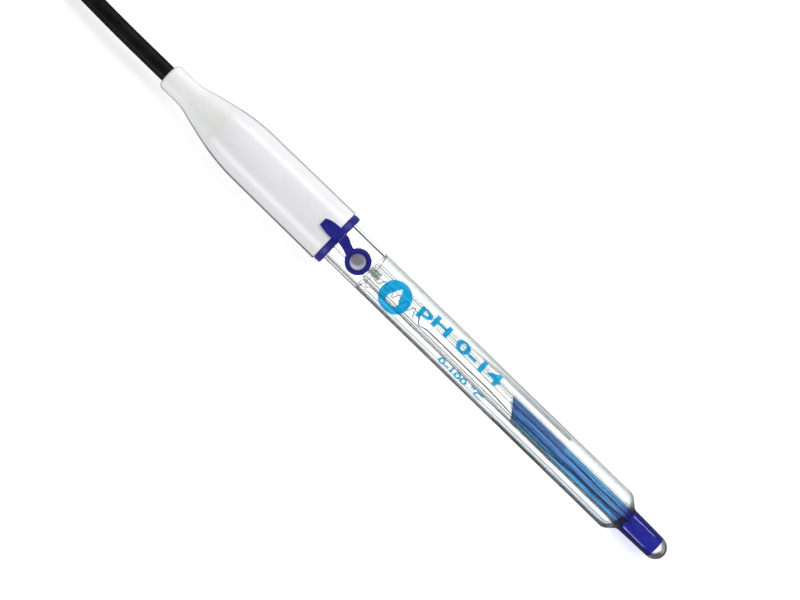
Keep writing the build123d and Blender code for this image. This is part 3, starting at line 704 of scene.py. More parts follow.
@dataclass(frozen=True)
class GelFilling(Finish):
    """Clear blue gel: bright and dark blue bands of painted light and shade along the bore, deep blue
    in the stem.
    """

    # Painted light and shade: bright and dark blue bands across the bore, by place from side to side
    bands: tuple[tuple[float, Colour], ...] = (
        (0.0, (0.12, 0.56, 0.86)),
        (0.13, (0.03, 0.38, 0.76)),
        (0.21, (0.02, 0.16, 0.4)),
        (0.28, (0.004, 0.03, 0.14)),
        (0.36, (0.01, 0.08, 0.3)),
        (0.5, (0.1, 0.32, 0.64)),
        (0.6, (0.03, 0.16, 0.44)),
        (0.68, (0.008, 0.04, 0.2)),
        (0.76, (0.01, 0.05, 0.24)),
        (0.83, (0.06, 0.26, 0.58)),
        (0.92, (0.04, 0.24, 0.5)),
        (1.0, (0.12, 0.45, 0.72)),
    )
    sway: float = 0.3
    sway_scale: float = 0.09
    stretch: float = 0.008
    scale: float = 4.6
    # Painted shadow: a darker blue over one side of the gel, up to a set distance
    painted_shadow: Colour = (0.01, 0.06, 0.28)
    painted_shadow_end: float = 81.5
    painted_shadow_fade: float = 0.4
    painted_shadow_side: tuple[float, float] = (0.55, 0.65)
    painted_shadow_cover: float = 0.6
    deep: Colour = (0.012, 0.016, 0.3)
    streak: Colour = (0.008, 0.035, 0.14)
    streak_lines: tuple[float, ...] = (0.57, 0.6, 0.0, 0.8)
    glint: Colour = (0.16, 0.5, 0.8)
    glint_lines: tuple[float, ...] = (0.4, 0.36, 0.0, 0.6)
    bore_radius: float = 1.95
    slant_place: float = 64.3
    slant_fade: tuple[float, float] = (0.35, 0.7)
    slant_cover: float = 0.85
    stem_run: tuple[float, float] = (102.0, 104.6)
    body: float = 0.06

    def surface(self, graph: Graph) -> Socket:
        """Builds the shader, whose colour counts once, where the light enters it.

        Args:
            graph: the material's graph.

        Returns:
            The shader.
        """
        place = graph.own_millimetres()
        x, y, _ = graph.parts(place)
        sway = graph.get("TexNoise", {"Vector": place, "Scale": self.sway_scale, "Detail": 1.0})
        moved = graph.math("ADD", y, graph.span(sway, *LINED, -self.sway, self.sway))
        across = graph.span(moved, -self.bore_radius, self.bore_radius)
        lines = graph.effect(Effect.STREAKS, place, Stretch=self.stretch, Scale=self.scale)[0]
        # Painted shadow, as cast by the reference element, over one side of the gel's upper run
        upper = graph.math(
            "MULTIPLY",
            graph.span(x, self.painted_shadow_end, self.painted_shadow_end + self.painted_shadow_fade, self.painted_shadow_cover, 0.0),
            graph.span(across, *self.painted_shadow_side),
        )
        slant = graph.math("ADD", x, y)
        end_run = (self.slant_place + fade for fade in self.slant_fade)
        layers = (
            (graph.span(lines, *self.streak_lines), self.streak),
            (graph.span(lines, *self.glint_lines), self.glint),
            (upper, self.painted_shadow),
            (graph.span(slant, *end_run, self.slant_cover, 0.0), self.streak),
            (graph.span(x, *self.stem_run), self.deep),
        )
        # Painted light and shade across the bore
        colour = graph.ramp(across, self.bands)
        for mask, tone in layers:
            colour = graph.blend(mask, colour, tone)
        clear = graph.get("BsdfTransparent", {0: graph.blend(graph.behind(), colour, WHITE)})
        return graph.mix(self.body, clear, graph.get("BsdfDiffuse", {"Color": colour}))


@dataclass(frozen=True)
class ClearInk(Finish):
    """Printing ink that lets what lies behind it show through."""

    tint: Colour
    body: Colour
    cover: float = 0.5
    cover_change: float = 0.16
    patches: float = 0.4
    grain: float = 3.0
    roughness: float = 0.4
    specular: float = 0.1

    def surface(self, graph: Graph) -> Socket:
        """Builds the shader, whose tint counts once, where the light enters it.

        Args:
            graph: the material's graph.

        Returns:
            The shader.
        """
        place = graph.own_millimetres()
        mottle = graph.effect(Effect.MOTTLE, place, Patches=self.patches, Grain=self.grain)
        behind = graph.behind()
        cover = graph.spread(mottle[0], self.cover, self.cover_change)
        cover = graph.math("MULTIPLY", cover, graph.math("SUBTRACT", 1.0, behind))
        clear = graph.get("BsdfTransparent", {0: graph.blend(behind, self.tint, WHITE)})
        inputs = {
            "Base Color": self.body,
            "Roughness": self.roughness,
            "Specular IOR Level": self.specular,
        }
        return graph.mix(cover, clear, graph.get("BsdfPrincipled", inputs))


@dataclass(frozen=True)
class Tape(Finish):
    """Woven tape of the hank's tie."""

    colour: Colour
    light: Colour
    pitch: float = 1400.0
    roughness: float = 0.8
    sheen: float = 0.3
    bump: float = 0.6

    def surface(self, graph: Graph) -> Socket:
        """Builds the shader.

        Args:
            graph: the material's graph.

        Returns:
            The shader.
        """
        place = graph.get("TexCoord", output="Object")
        ribs = graph.effect(Effect.WEAVE, place, Pitch=self.pitch)[0]
        inputs = {
            "Base Color": graph.blend(ribs, self.colour, self.light),
            "Roughness": self.roughness,
            "Sheen Weight": self.sheen,
            "Normal": graph.bump(ribs, self.bump, WEAVE_DEPTH),
        }
        return graph.get("BsdfPrincipled", inputs)


@dataclass(frozen=True)
class Stopper(Finish):
    """Blue silicone, greyer and paler in the disc's dish.

    The dish's grey is painted light through its thin floor, with a painted highlight in an arc on
    one side and painted shade in a ring round it. The places of the dish's parts are shares of
    its radius.
    """

    colour: Colour = (0.018, 0.018, 0.235)
    shade: Colour = (0.012, 0.013, 0.175)
    # Painted light: the dish's grey, and the paler arc of the painted highlight
    dish: Colour = (0.2, 0.19, 0.23)
    crescent_highlight: Colour = (0.5, 0.52, 0.62)
    dish_place: Point = (9.15, -0.62, 7.0)
    crescent_place: Point = (8.7, -0.22, 7.0)
    dish_radius: float = 2.2
    dish_rim: tuple[float, float] = (0.85, 1.02)
    crescent_rim: tuple[float, float] = (0.7, 0.95)
    crescent_cover: float = 0.8
    # Painted shade: a darker ring round the dish
    ring_place: float = 1.1
    ring_width: tuple[float, float] = (0.06, 0.14)
    ring_shade_cover: float = 0.6
    ring_shade_share: float = 0.4
    patches: float = 0.5
    grain: float = 6.0
    roughness: float = 0.36
    roughness_change: float = 0.12
    specular: float = 0.2
    bump: float = 0.1

    def surface(self, graph: Graph) -> Socket:
        """Builds the shader.

        Args:
            graph: the material's graph.

        Returns:
            The shader.
        """
        place = graph.own_millimetres()
        patch, grain = graph.effect(
            Effect.MOTTLE, place, Patches=self.patches, Grain=self.grain
        )
        away, from_crescent = (
            graph.get("VectorMath", {0: place, 1: centre}, "Value", operation="DISTANCE")
            for centre in (self.dish_place, self.crescent_place)
        )
        radius = self.dish_radius
        ring_width, crescent_rim, dish_rim = (
            [radius * share for share in shares]
            for shares in (self.ring_width, self.crescent_rim, self.dish_rim)
        )
        # Painted shade: a darker ring round the dish
        ring = graph.math("ABSOLUTE", graph.math("SUBTRACT", away, radius * self.ring_place))
        ring = graph.span(ring, *ring_width, self.ring_shade_cover, 0.0)
        # Painted highlight: a paler arc on one side of the dish
        crescent_highlight = graph.span(from_crescent, *crescent_rim, 0.0, self.crescent_cover)
        dish = graph.blend(crescent_highlight, self.dish, self.crescent_highlight)
        colour = graph.blend(graph.span(patch, *PATCHY), self.shade, self.colour)
        colour = graph.blend(ring, colour, scaled(self.shade, self.ring_shade_share))
        inside = graph.span(away, *dish_rim, 1.0, 0.0)
        inputs = {
            "Base Color": graph.blend(inside, colour, dish),
            "Roughness": graph.spread(grain, self.roughness, self.roughness_change),
            "Specular IOR Level": self.specular,
            "Normal": graph.bump(grain, self.bump, GRAIN_DEPTH),
        }
        return graph.get("BsdfPrincipled", inputs)


# Painted shade darkens the cap at its silhouette
CAP_WHITE = Moulding(
    "cap_white", (0.76, 0.76, 0.775), (0.73, 0.73, 0.745), 0.32, 0.06, coat=0.15, specular=0.4,
    edge=0.95,
)
# Painted shade darkens the strain relief at its silhouette and towards its wide end by the cap
BOOT_GREY = Moulding(
    "boot_grey", (0.8, 0.8, 0.8), (0.75, 0.755, 0.75), 0.45, 0.08, subsurface=0.1,
    specular=0.35, edge=0.8, shaded_end=(-50.0, -41.0, 0.22),
)
JACKET = Moulding(
    "cable_black", (0.008, 0.008, 0.0085), (0.004, 0.004, 0.0045), 0.42, 0.12, 0.3, 4.0, 0.15,
    specular=0.07,
)
BLACK_RUBBER = Moulding(
    "rubber_black", (0.014, 0.014, 0.015), (0.008, 0.008, 0.008), 0.5, 0.12, 0.3, 4.0, 0.2,
    specular=0.3,
)
SEAL_GREY = Moulding("seal_grey", (0.5, 0.5, 0.5), (0.42, 0.42, 0.42), 0.6)
RESIN = Moulding("resin_grey", (0.12, 0.12, 0.13), (0.09, 0.09, 0.1), 0.3)
CORE_WHITE = Moulding("core_white", (0.75, 0.73, 0.66), (0.68, 0.66, 0.6), 0.45)
CERAMIC = Moulding("ceramic", (0.75, 0.72, 0.66), (0.66, 0.63, 0.57), 0.8, bump=0.4)
INSULATOR = Moulding("insulator", (0.8, 0.79, 0.75), (0.74, 0.73, 0.7), 0.35)
GASKET = Moulding("gasket", (0.25, 0.03, 0.02), (0.19, 0.022, 0.016), 0.5)
WIRE_BLACK = Moulding(
    "wire_black", (0.004, 0.004, 0.005), (0.002, 0.002, 0.003), 0.6, specular=0.03
)
WOOL = Moulding("glass_wool", (0.2, 0.25, 0.2), (0.07, 0.1, 0.075), 0.6, patches=1.5)
# Painted shade draws a wide dark outline round the sleeve
SLEEVE = Moulding(
    "wire_sleeve", (0.5, 0.5, 0.49), (0.4, 0.4, 0.39), 0.4, edge=1.6, rim_shade_place=0.12
)
# Painted highlight: the bubbles are opaque white, with painted shade as their dark outline
BUBBLE_HIGHLIGHT = Moulding(
    "bubble", (0.95, 0.95, 0.95), (0.88, 0.9, 0.9), 0.1, edge=1.2, rim_shade_place=0.12
)
INK = ClearInk("print_blue", (0.03, 0.46, 0.76), (0.0, 0.3, 0.64))
SILVER = Metal("silver_wire", (0.14, 0.135, 0.13), (0.05, 0.048, 0.045), 0.45)
TINNED = Metal("tinned_copper", (0.65, 0.62, 0.56), (0.5, 0.47, 0.42), 0.35)
NICKEL = Metal("nickel", (0.66, 0.63, 0.57), (0.56, 0.53, 0.48), 0.18)
GOLD = Metal("gold", (0.83, 0.6, 0.26), (0.74, 0.52, 0.22), 0.2)
SPRING = Metal("spring_steel", (0.5, 0.5, 0.5), (0.42, 0.42, 0.42), 0.3)
# Both glasses carry painted shade at their edges and in thin dark lines; the wet one's is paler
GLASS_AIR = ClearWall("glass_in_air", 1.47)
GLASS_WET = ClearWall(
    "glass_in_liquid",
    1.10,
    near_rim_shade=(0.03, 0.035, 0.035),
    far_rim_shade=(0.2, 0.23, 0.23),
    rim_place=0.5,
    rim_width=0.08,
    dry_change=0.0,
    tip_change=0.0,
    wet_edge_shade=(0.88, 0.91, 0.895),
    edge_shade_place=0.16,
    line=(0.186, 0.2),
    line_near=0.5,
    line_far=0.0,
    bore_strength=0.0,
)
# Painted shade: the level shows a dark line where it is seen edge on
LEVEL = ClearSkin("liquid_level", (0.6, 0.66, 0.66), 0.03, 0.1, rim_shade_cover=0.9, rim_shade_place=0.7)
# Painted shade: the gel's end face is a dark blue sheet that draws its outline
GEL_END_SHADE = ClearSkin("gel_end", (0.006, 0.02, 0.09), 0.7, 0.3)
LIQUID = ClearSkin("liquid_side", (0.8, 0.85, 0.82), 0.006)
# Painted shade: a thin dark line at the film's end
FILM = ClearSkin("film_clear", (0.8, 0.84, 0.84), 0.02, 0.2, ends=(13.08,))
GEL = GelFilling("gel_blue")
SILICONE = Stopper("silicone_blue")
TIE_TAPE = Tape("tie_tape", (0.02, 0.02, 0.024), (0.06, 0.06, 0.07))


# Mesh tools


class Corner(Enum):
    """Angle in degrees above which an edge stays sharp in smooth shading."""

    SOFT = 60.0
    NORMAL = 35.0


class Face(IntEnum):
    """Material numbers: dry and wet faces of the glass, sides and ends of a filling."""

    DRY = 0
    WET = 1
    SIDE = 0
    END = 1


def link_object(name: str, data: bpy.types.ID) -> Piece:
    """A new object in the scene, at the origin.

    Args:
        name: the object's name.
        data: its mesh, curve, lamp or camera.

    Returns:
        The new object.
    """
    made = bpy.data.objects.new(name, data)
    bpy.context.scene.collection.objects.link(made)
    return made


def report(piece: Piece) -> None:
    """Reports a finished piece.

    Args:
        piece: the piece.
    """
    if isinstance(piece.data, bpy.types.Mesh):
        LOG.info("built %s with %d faces", piece.name, len(piece.data.polygons))
    else:
        LOG.info("built %s with %d curves", piece.name, len(piece.data.splines))


def to_piece(
    bm: bmesh.types.BMesh,
    name: str,
    finishes: list[Finish],
    place: Matrix | None = None,
    corner: Corner = Corner.NORMAL,
) -> Piece:
    """Turns a bmesh into a smooth shaded object that sits at the origin.

    Args:
        bm: the shape; it is freed.
        name: the piece's name.
        finishes: one finish for each material number.
        place: matrix that takes the shape to the row frame's metres.
        corner: which edges stay sharp.

    Returns:
        The new object.
    """
    limit = math.radians(corner.value)
    for face in bm.faces:
        face.smooth = True
    for edge in bm.edges:
        edge.smooth = len(edge.link_faces) == 2 and edge.calc_face_angle(0.0) < limit
    if place is not None:
        bmesh.ops.transform(bm, matrix=place, verts=bm.verts)
    mesh = bpy.data.meshes.new(name)
    bm.to_mesh(mesh)
    bm.free()
    for finish in finishes:
        mesh.materials.append(finish.material())
    return link_object(name, mesh)


def spin_strip(bm: bmesh.types.BMesh, profile: Profile, number: int, segments: int) -> None:
    """Spins an open profile of distance and radius round the axis.

    Args:
        bm: the mesh that the strip is added to.
        profile: the profile's points, in the electrode's millimetres.
        number: the material number of the new faces.
        segments: steps of the full turn.
    """
    old = set(bm.faces)
    verts = [bm.verts.new((s, 0.0, r)) for s, r in profile]
    edges = [bm.edges.new(pair) for pair in zip(verts, verts[1:])]
    bmesh.ops.spin(
        bm,
        geom=verts + edges,
        cent=(0, 0, 0),
        axis=(1, 0, 0),
        dvec=(0, 0, 0),
        angle=2 * math.pi,
        steps=segments,
        use_merge=True,
        use_duplicate=False,
    )
    for face in bm.faces:
        if face not in old:
            face.material_index = number


def spun(strips: list[tuple[Profile, int]], segments: int) -> bmesh.types.BMesh:
    """A closed mesh from profiles with material numbers, with its faces turned outwards.

    Args:
        strips: profiles with their material numbers.
        segments: steps of the full turn.

    Returns:
        The closed mesh.
    """
    bm = bmesh.new()
    for profile, number in strips:
        spin_strip(bm, profile, number, segments)
    bmesh.ops.remove_doubles(bm, verts=bm.verts, dist=SEAM)
    loose = [face for face in bm.faces if face.calc_area() < SLIVER]
    bmesh.ops.delete(bm, geom=loose, context="FACES")
    bmesh.ops.recalc_face_normals(bm, faces=bm.faces)
    return bm


def rounded(points: list[tuple[float, float, float]], steps: int = 8) -> Profile:
    """A profile whose corners are rounded by arcs.

    Args:
        points: distance, radius from the axis and corner radius of each point.
        steps: straight pieces in each arc.

    Returns:
        The profile's points.
    """
    profile = [points[0][:2]]
    for before, corner, after in zip(points, points[1:], points[2:]):
        here = Vector(corner[:2])
        back = (Vector(before[:2]) - here).normalized()
        ahead = (Vector(after[:2]) - here).normalized()
        if corner[2] <= 0:
            profile.append(tuple(here))
            continue
        turn = math.pi - back.angle(ahead)
        reach = corner[2] * math.tan(turn / 2)
        middle = here + (back + ahead).normalized() * (corner[2] / math.cos(turn / 2))
        first = here + back * reach - middle
        spin = 1 if back.x * ahead.y - back.y * ahead.x < 0 else -1
        for step in range(steps + 1):
            turned = Matrix.Rotation(spin * turn * step / steps, 2) @ first
            profile.append(tuple(middle + turned))
    profile.append(points[-1][:2])
    return profile


def dome(start: float, length: float, radius: float, steps: int = 16) -> Profile:
    """Quarter of an ellipse from its rim to the axis."""
    angles = [math.pi / 2 * step / steps for step in range(steps + 1)]
    return [(start + length * math.sin(a), max(radius * math.cos(a), 0.0)) for a in angles]


def at_roll(distance: float, roll: float, radius: float) -> Matrix:
    """Matrix to a place on the electrode by distance, roll from straight up, and radius."""
    turn = Matrix.Rotation(math.radians(-roll), 4, "X")
    return Matrix.Translation((distance, 0, 0)) @ turn @ Matrix.Translation((0, 0, radius))


def baked_mesh(source: Piece) -> bpy.types.Mesh:
    """A new mesh of an object with its modifiers and curves worked out.

    Args:
        source: the object.

    Returns:
        The new mesh.
    """
    bpy.context.view_layer.update()
    evaluated = source.evaluated_get(bpy.context.evaluated_depsgraph_get())
    return bpy.data.meshes.new_from_object(evaluated)


def round_curve(name: str, radius: float, steps: int, sides: int) -> bpy.types.Curve:
    """An empty curve with a round section, in metres, and closed ends.

    Args:
        name: the curve's name.
        radius: radius of the section.
        steps: straight pieces between two points.
        sides: how finely the section is rounded.

    Returns:
        The new curve.
    """
    curve = bpy.data.curves.new(name, "CURVE")
    curve.dimensions = "3D"
    curve.bevel_depth = radius
    curve.bevel_resolution = sides
    curve.resolution_u = steps
    curve.use_fill_caps = True
    return curve


def add_line(curve: bpy.types.Curve, places: list[Iterable[float]]) -> None:
    """Adds one smooth NURBS line by its control points in metres.

    Args:
        curve: the curve that gets the line.
        places: the control points.
    """
    spline = curve.splines.new("NURBS")
    spline.points.add(len(places) - 1)
    for point, place in zip(spline.points, places):
        point.co = (*place, 1.0)
    spline.order_u = 3
    spline.use_endpoint_u = True


def add_loop(curve: bpy.types.Curve, shape: list[tuple[Point, Point, Point]]) -> None:
    """Adds one closed Bezier loop by its points and their left and right handles.

    Args:
        curve: the curve that gets the loop.
        shape: the points with their handles.
    """
    spline = curve.splines.new("BEZIER")
    spline.bezier_points.add(len(shape) - 1)
    spline.use_cyclic_u = True
    for point, (here, left, right) in zip(spline.bezier_points, shape):
        point.co, point.handle_left, point.handle_right = here, left, right


def smooth_copy(node: str, name: str, finish: Finish, body: str = BODY) -> Piece:
    """A merged, smooth shaded copy of a CAD node, which it replaces.

    Args:
        node: the CAD node.
        name: the new piece's name.
        finish: the piece's finish.
        body: the CAD body that it rides on.

    Returns:
        The new piece.
    """
    bm = bmesh.new()
    bm.from_mesh(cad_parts[node].data)
    bmesh.ops.remove_doubles(bm, verts=bm.verts, dist=NODE_SEAM)
    for face in bm.faces:
        face.material_index = 0
    piece = to_piece(bm, name, [finish])
    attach(piece, body)
    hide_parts(node)
    report(piece)
    return piece


def dress_node(node: str, finish: Finish) -> None:
    """Gives a CAD node that stays as it is its finish.

    Args:
        node: the CAD node.
        finish: its finish.
    """
    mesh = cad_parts[node].data
    mesh.materials.clear()
    mesh.materials.append(finish.material())
    LOG.info("dressed %s", node)


# The electrode


@dataclass
class Tubes:
    """Sizes that the glass and its fillings share, and the glass round them."""

    outer_radius: float = 6.0
    wall: float = 1.0
    inner_radius: float = 2.4
    inner_wall: float = 0.4
    level: float = 13.3
    flare_start: float = 104.2
    flare_end: float = 106.4
    flare_round: float = 1.2
    flare_back_round: float = 1.0
    shoulder_inner_round: float = 2.1
    pocket_round: float = 0.25
    stem_radius: float = 3.45
    stem_wall: float = 0.55
    gel_middle: float = 64.3
    gel_end: float = 116.8

    @property
    def inside(self) -> float:
        """Inner radius of the outer tube."""
        return self.outer_radius - self.wall

    @property
    def bore(self) -> float:
        """Inner radius of the inner tube."""
        return self.inner_radius - self.inner_wall

    @property
    def stem_bore(self) -> float:
        """Inner radius of the stem below the flare."""
        return self.stem_radius - self.stem_wall


@dataclass
class GlassBody(Tubes):
    """Fused glass: outer tube, shoulder, inner tube, stem and domed membrane, in one piece."""

    tube_top: float = -18.0
    inner_top: float = -24.0
    top_round: float = 0.3
    shoulder_start: float = 103.2
    shoulder_end: float = 106.0
    shoulder_rounds: tuple[float, float] = (3.0, 2.0)
    shoulder_inner_step: float = 0.45
    pocket: tuple[float, float] = (105.18, 2.87)
    stem_end: float = 116.4
    stem_end_radius: float = 3.2
    stem_from: float = 104.0
    tip: float = 120.0
    tip_wall: float = 0.75
    fill_hole: tuple[float, float, float] = (9.15, 2.2, -5.0)
    junction_hole: tuple[float, float, float] = (97.0, 0.6, 125.0)
    drill_depth: float = 3.0
    drill_segments: int = 48
    bore_reach: float = 0.1
    stem_reach: float = 0.05
    rings: tuple[float, ...] = (6.5, 11.8, 96.0, 98.0)
    segments: int = 160

    def walls(self) -> list[tuple[Profile, int]]:
        """The wall's profiles, from the tip's outside round to its inside, with material numbers.

        Returns:
            The profiles.
        """
        bore, inside, inner = self.bore, self.inside, self.inner_radius
        seat = self.stem_end_radius - self.stem_wall
        space = self.tip - self.stem_end
        outside = [
            (self.tube_top, inside, 0.0),
            (self.tube_top, self.outer_radius, self.top_round),
            *((place, self.outer_radius, 0.0) for place in self.rings),
            (self.shoulder_start, self.outer_radius, self.shoulder_rounds[0]),
            (self.shoulder_end, self.stem_radius, self.shoulder_rounds[1]),
            (self.stem_end, self.stem_end_radius, 0.0),
        ]
        wet = [
            (self.level, inside, 0.0),
            *((place, inside, 0.0) for place in self.rings[2:]),
            (self.shoulder_start - self.shoulder_inner_step, inside, self.shoulder_inner_round),
            (*self.pocket, self.pocket_round),
            (self.flare_start, inner, self.flare_back_round),
            (self.level, inner, 0.0),
        ]
        bore_run = [
            (self.inner_top, bore, 0.0),
            (self.flare_start, bore, self.flare_round),
            (self.flare_end, self.stem_bore, self.flare_round),
            (self.stem_end, seat, 0.0),
        ]
        outer_dome = dome(self.stem_end, space, self.stem_end_radius)[1:]
        inner_dome = dome(self.stem_end, space - self.tip_wall, seat)[1:]
        dry = [(place, inside) for place in (self.tube_top, *self.rings[:2], self.level)]
        return [
            (rounded(outside) + outer_dome, Face.DRY),
            (dry, Face.DRY),
            (rounded(wet), Face.WET),
            ([(self.level, inner), (self.inner_top, inner)], Face.DRY),
            ([(self.inner_top, inner), (self.inner_top, bore)], Face.DRY),
            (rounded(bore_run) + inner_dome, Face.DRY),
        ]

    def in_bore(self, point: Vector) -> bool:
        """True for a point on the bore's wall or the stem's inner wall.

        Args:
            point: the point, in the electrode's millimetres.

        Returns:
            Whether it lies there.
        """
        radius = math.hypot(point.y, point.z)
        if point.x < self.stem_from:
            return radius < self.bore + self.bore_reach
        return radius < self.stem_bore + self.stem_reach

    def wet_the_bore(self, bm: bmesh.types.BMesh) -> None:
        """Cuts the bore's wall at the gel's two ends, and marks it wet between them.

        Args:
            bm: the glass.
        """
        middle, end = Vector((self.gel_middle, 0, 0)), Vector((self.gel_end, 0, 0))
        slope = Vector((1.0, 1.0, 0.0)).normalized()
        for plane, normal in ((middle, slope), (end, Vector((1, 0, 0)))):
            near = [f for f in bm.faces if self.in_bore(f.calc_center_median())]
            edges = {e for f in near for e in f.edges}
            verts = {v for f in near for v in f.verts}
            bmesh.ops.bisect_plane(
                bm, geom=[*near, *edges, *verts], plane_co=plane, plane_no=normal, dist=CUT_SEAM
            )
        for face in bm.faces:
            centre = face.calc_center_median()
            wet = (centre - middle).dot(slope) > 0
            if self.in_bore(centre) and wet and centre.x < self.gel_end:
                face.material_index = Face.WET

    def drill(self, piece: Piece, hole: tuple[float, float, float]) -> None:
        """Cuts a round hole through one wall of the outer tube.

        Args:
            piece: the glass.
            hole: distance, radius, and roll from straight up in degrees.
        """
        distance, radius, roll = hole
        bm = bmesh.new()
        bmesh.ops.create_cone(
            bm,
            cap_ends=True,
            segments=self.drill_segments,
            radius1=radius,
            radius2=radius,
            depth=self.drill_depth,
        )
        place = LIE.place @ at_roll(distance, roll, self.outer_radius - self.wall / 2)
        drill = to_piece(bm, "drill", [GLASS_AIR], place)
        cut = piece.modifiers.new("hole", "BOOLEAN")
        cut.operation = "DIFFERENCE"
        cut.solver = "EXACT"
        cut.object = drill
        mesh = baked_mesh(piece)
        mesh.set_sharp_from_angle(angle=math.radians(Corner.SOFT.value))
        piece.modifiers.clear()
        piece.data = mesh
        bpy.data.objects.remove(drill)

    def build(self) -> None:
        """Builds the glass and lets it stand for its three CAD nodes."""
        bm = spun(self.walls(), self.segments)
        self.wet_the_bore(bm)
        piece = to_piece(bm, "glass_body", [GLASS_AIR, GLASS_WET], LIE.place, Corner.SOFT)
        for hole in (self.fill_hole, self.junction_hole):
            self.drill(piece, hole)
        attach(piece, BODY)
        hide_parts("outer_tube", "inner_tube", "membrane")
        report(piece)


@dataclass
class Fillings(Tubes):
    """Clear filling between the tubes, blue gel in the bore, and the bubbles on the wall.

    Each bubble has a distance, a roll from straight up in degrees, a radius and a stretch.
    """

    gap: float = 0.03
    level_depth: float = 1.3
    level_steps: int = 12
    shoulder_place: float = 102.72
    pocket: tuple[float, float] = (105.1, 2.9)
    gel_above: float = 4.0
    gel_cut: Point = (-1.0, -1.0, 0.06)
    gel_tip_radius: float = 2.63
    segments: int = 96
    bubble_gap: float = 0.08
    bubble_depth: float = 0.8
    bubble_places: tuple[tuple[float, float, float, float], ...] = (
        (31.0, 43.0, 0.3, 1.0),
        (37.8, 42.0, 0.3, 2.2),
        (52.9, 43.0, 0.36, 1.2),
        (60.2, 43.0, 0.36, 2.2),
        (44.8, -46.0, 0.32, 2.2),
        (51.6, -46.0, 0.32, 1.4),
        (55.9, -46.0, 0.3, 2.2),
        (15.2, -44.0, 0.6, 1.4),
    )

    def clear(self) -> None:
        """Builds the clear filling with its curved level."""
        outer, inner = self.inside - self.gap, self.inner_radius + self.gap
        level = []
        for step in range(self.level_steps + 1):
            radius = inner + (outer - inner) * step / self.level_steps
            dip = self.level_depth * (1 - (radius / outer) ** 2)
            level.append((self.level + dip, radius))
        side = [
            (self.level, outer, 0.0),
            (self.shoulder_place, outer, self.shoulder_inner_round),
            (*self.pocket, self.pocket_round),
            (self.flare_start, inner, self.flare_back_round),
            (level[0][0], inner, 0.0),
        ]
        bm = spun([(level, Face.END), (rounded(side), Face.SIDE)], self.segments)
        piece = to_piece(bm, "clear_filling", [LIQUID, LEVEL], LIE.place, Corner.SOFT)
        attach(piece, BODY)
        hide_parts("electrolyte")
        report(piece)

    def gel(self) -> None:
        """Builds the gel, whose upper end has run down one side."""
        bore, top = self.bore - self.gap, self.gel_middle - self.gel_above
        profile = [
            (top, 0.0, 0.0),
            (top, bore, 0.0),
            (self.flare_start, bore, self.flare_round),
            (self.flare_end, self.stem_bore - self.gap, self.flare_round),
            (self.gel_end, self.gel_tip_radius - self.gap, 0.0),
            (self.gel_end, 0.0, 0.0),
        ]
        bm = spun([(rounded(profile), Face.SIDE)], self.segments)
        cut = bmesh.ops.bisect_plane(
            bm,
            geom=[*bm.faces, *bm.edges, *bm.verts],
            plane_co=(self.gel_middle, 0, 0),
            plane_no=self.gel_cut,
            clear_outer=True,
            dist=CUT_SEAM,
        )
        rim = [item for item in cut["geom_cut"] if isinstance(item, bmesh.types.BMEdge)]
        for face in bmesh.ops.edgeloop_fill(bm, edges=rim)["faces"]:
            face.material_index = Face.END
        bmesh.ops.recalc_face_normals(bm, faces=bm.faces)
        piece = to_piece(bm, "blue_gel", [GEL, GEL_END_SHADE], LIE.place)
        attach(piece, BODY)
        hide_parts("inner_gel")
        report(piece)

    def bubbles(self) -> None:
        """Builds the small bubbles that cling to the outer wall, as one piece."""
        bm = bmesh.new()
        for distance, roll, radius, stretch in self.bubble_places:
            place = at_roll(distance, roll, self.inside - radius - self.bubble_gap)
            size = Matrix.Diagonal((radius * stretch, radius, radius * self.bubble_depth, 1.0))
            bmesh.ops.create_icosphere(bm, subdivisions=3, radius=1.0, matrix=place @ size)
        piece = to_piece(bm, "wall_bubbles", [BUBBLE_HIGHLIGHT], LIE.place, Corner.SOFT)
        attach(piece, BODY)
        report(piece)

    def build(self) -> None:
        """Builds all the fillings."""
        self.clear()
        self.gel()
        self.bubbles()


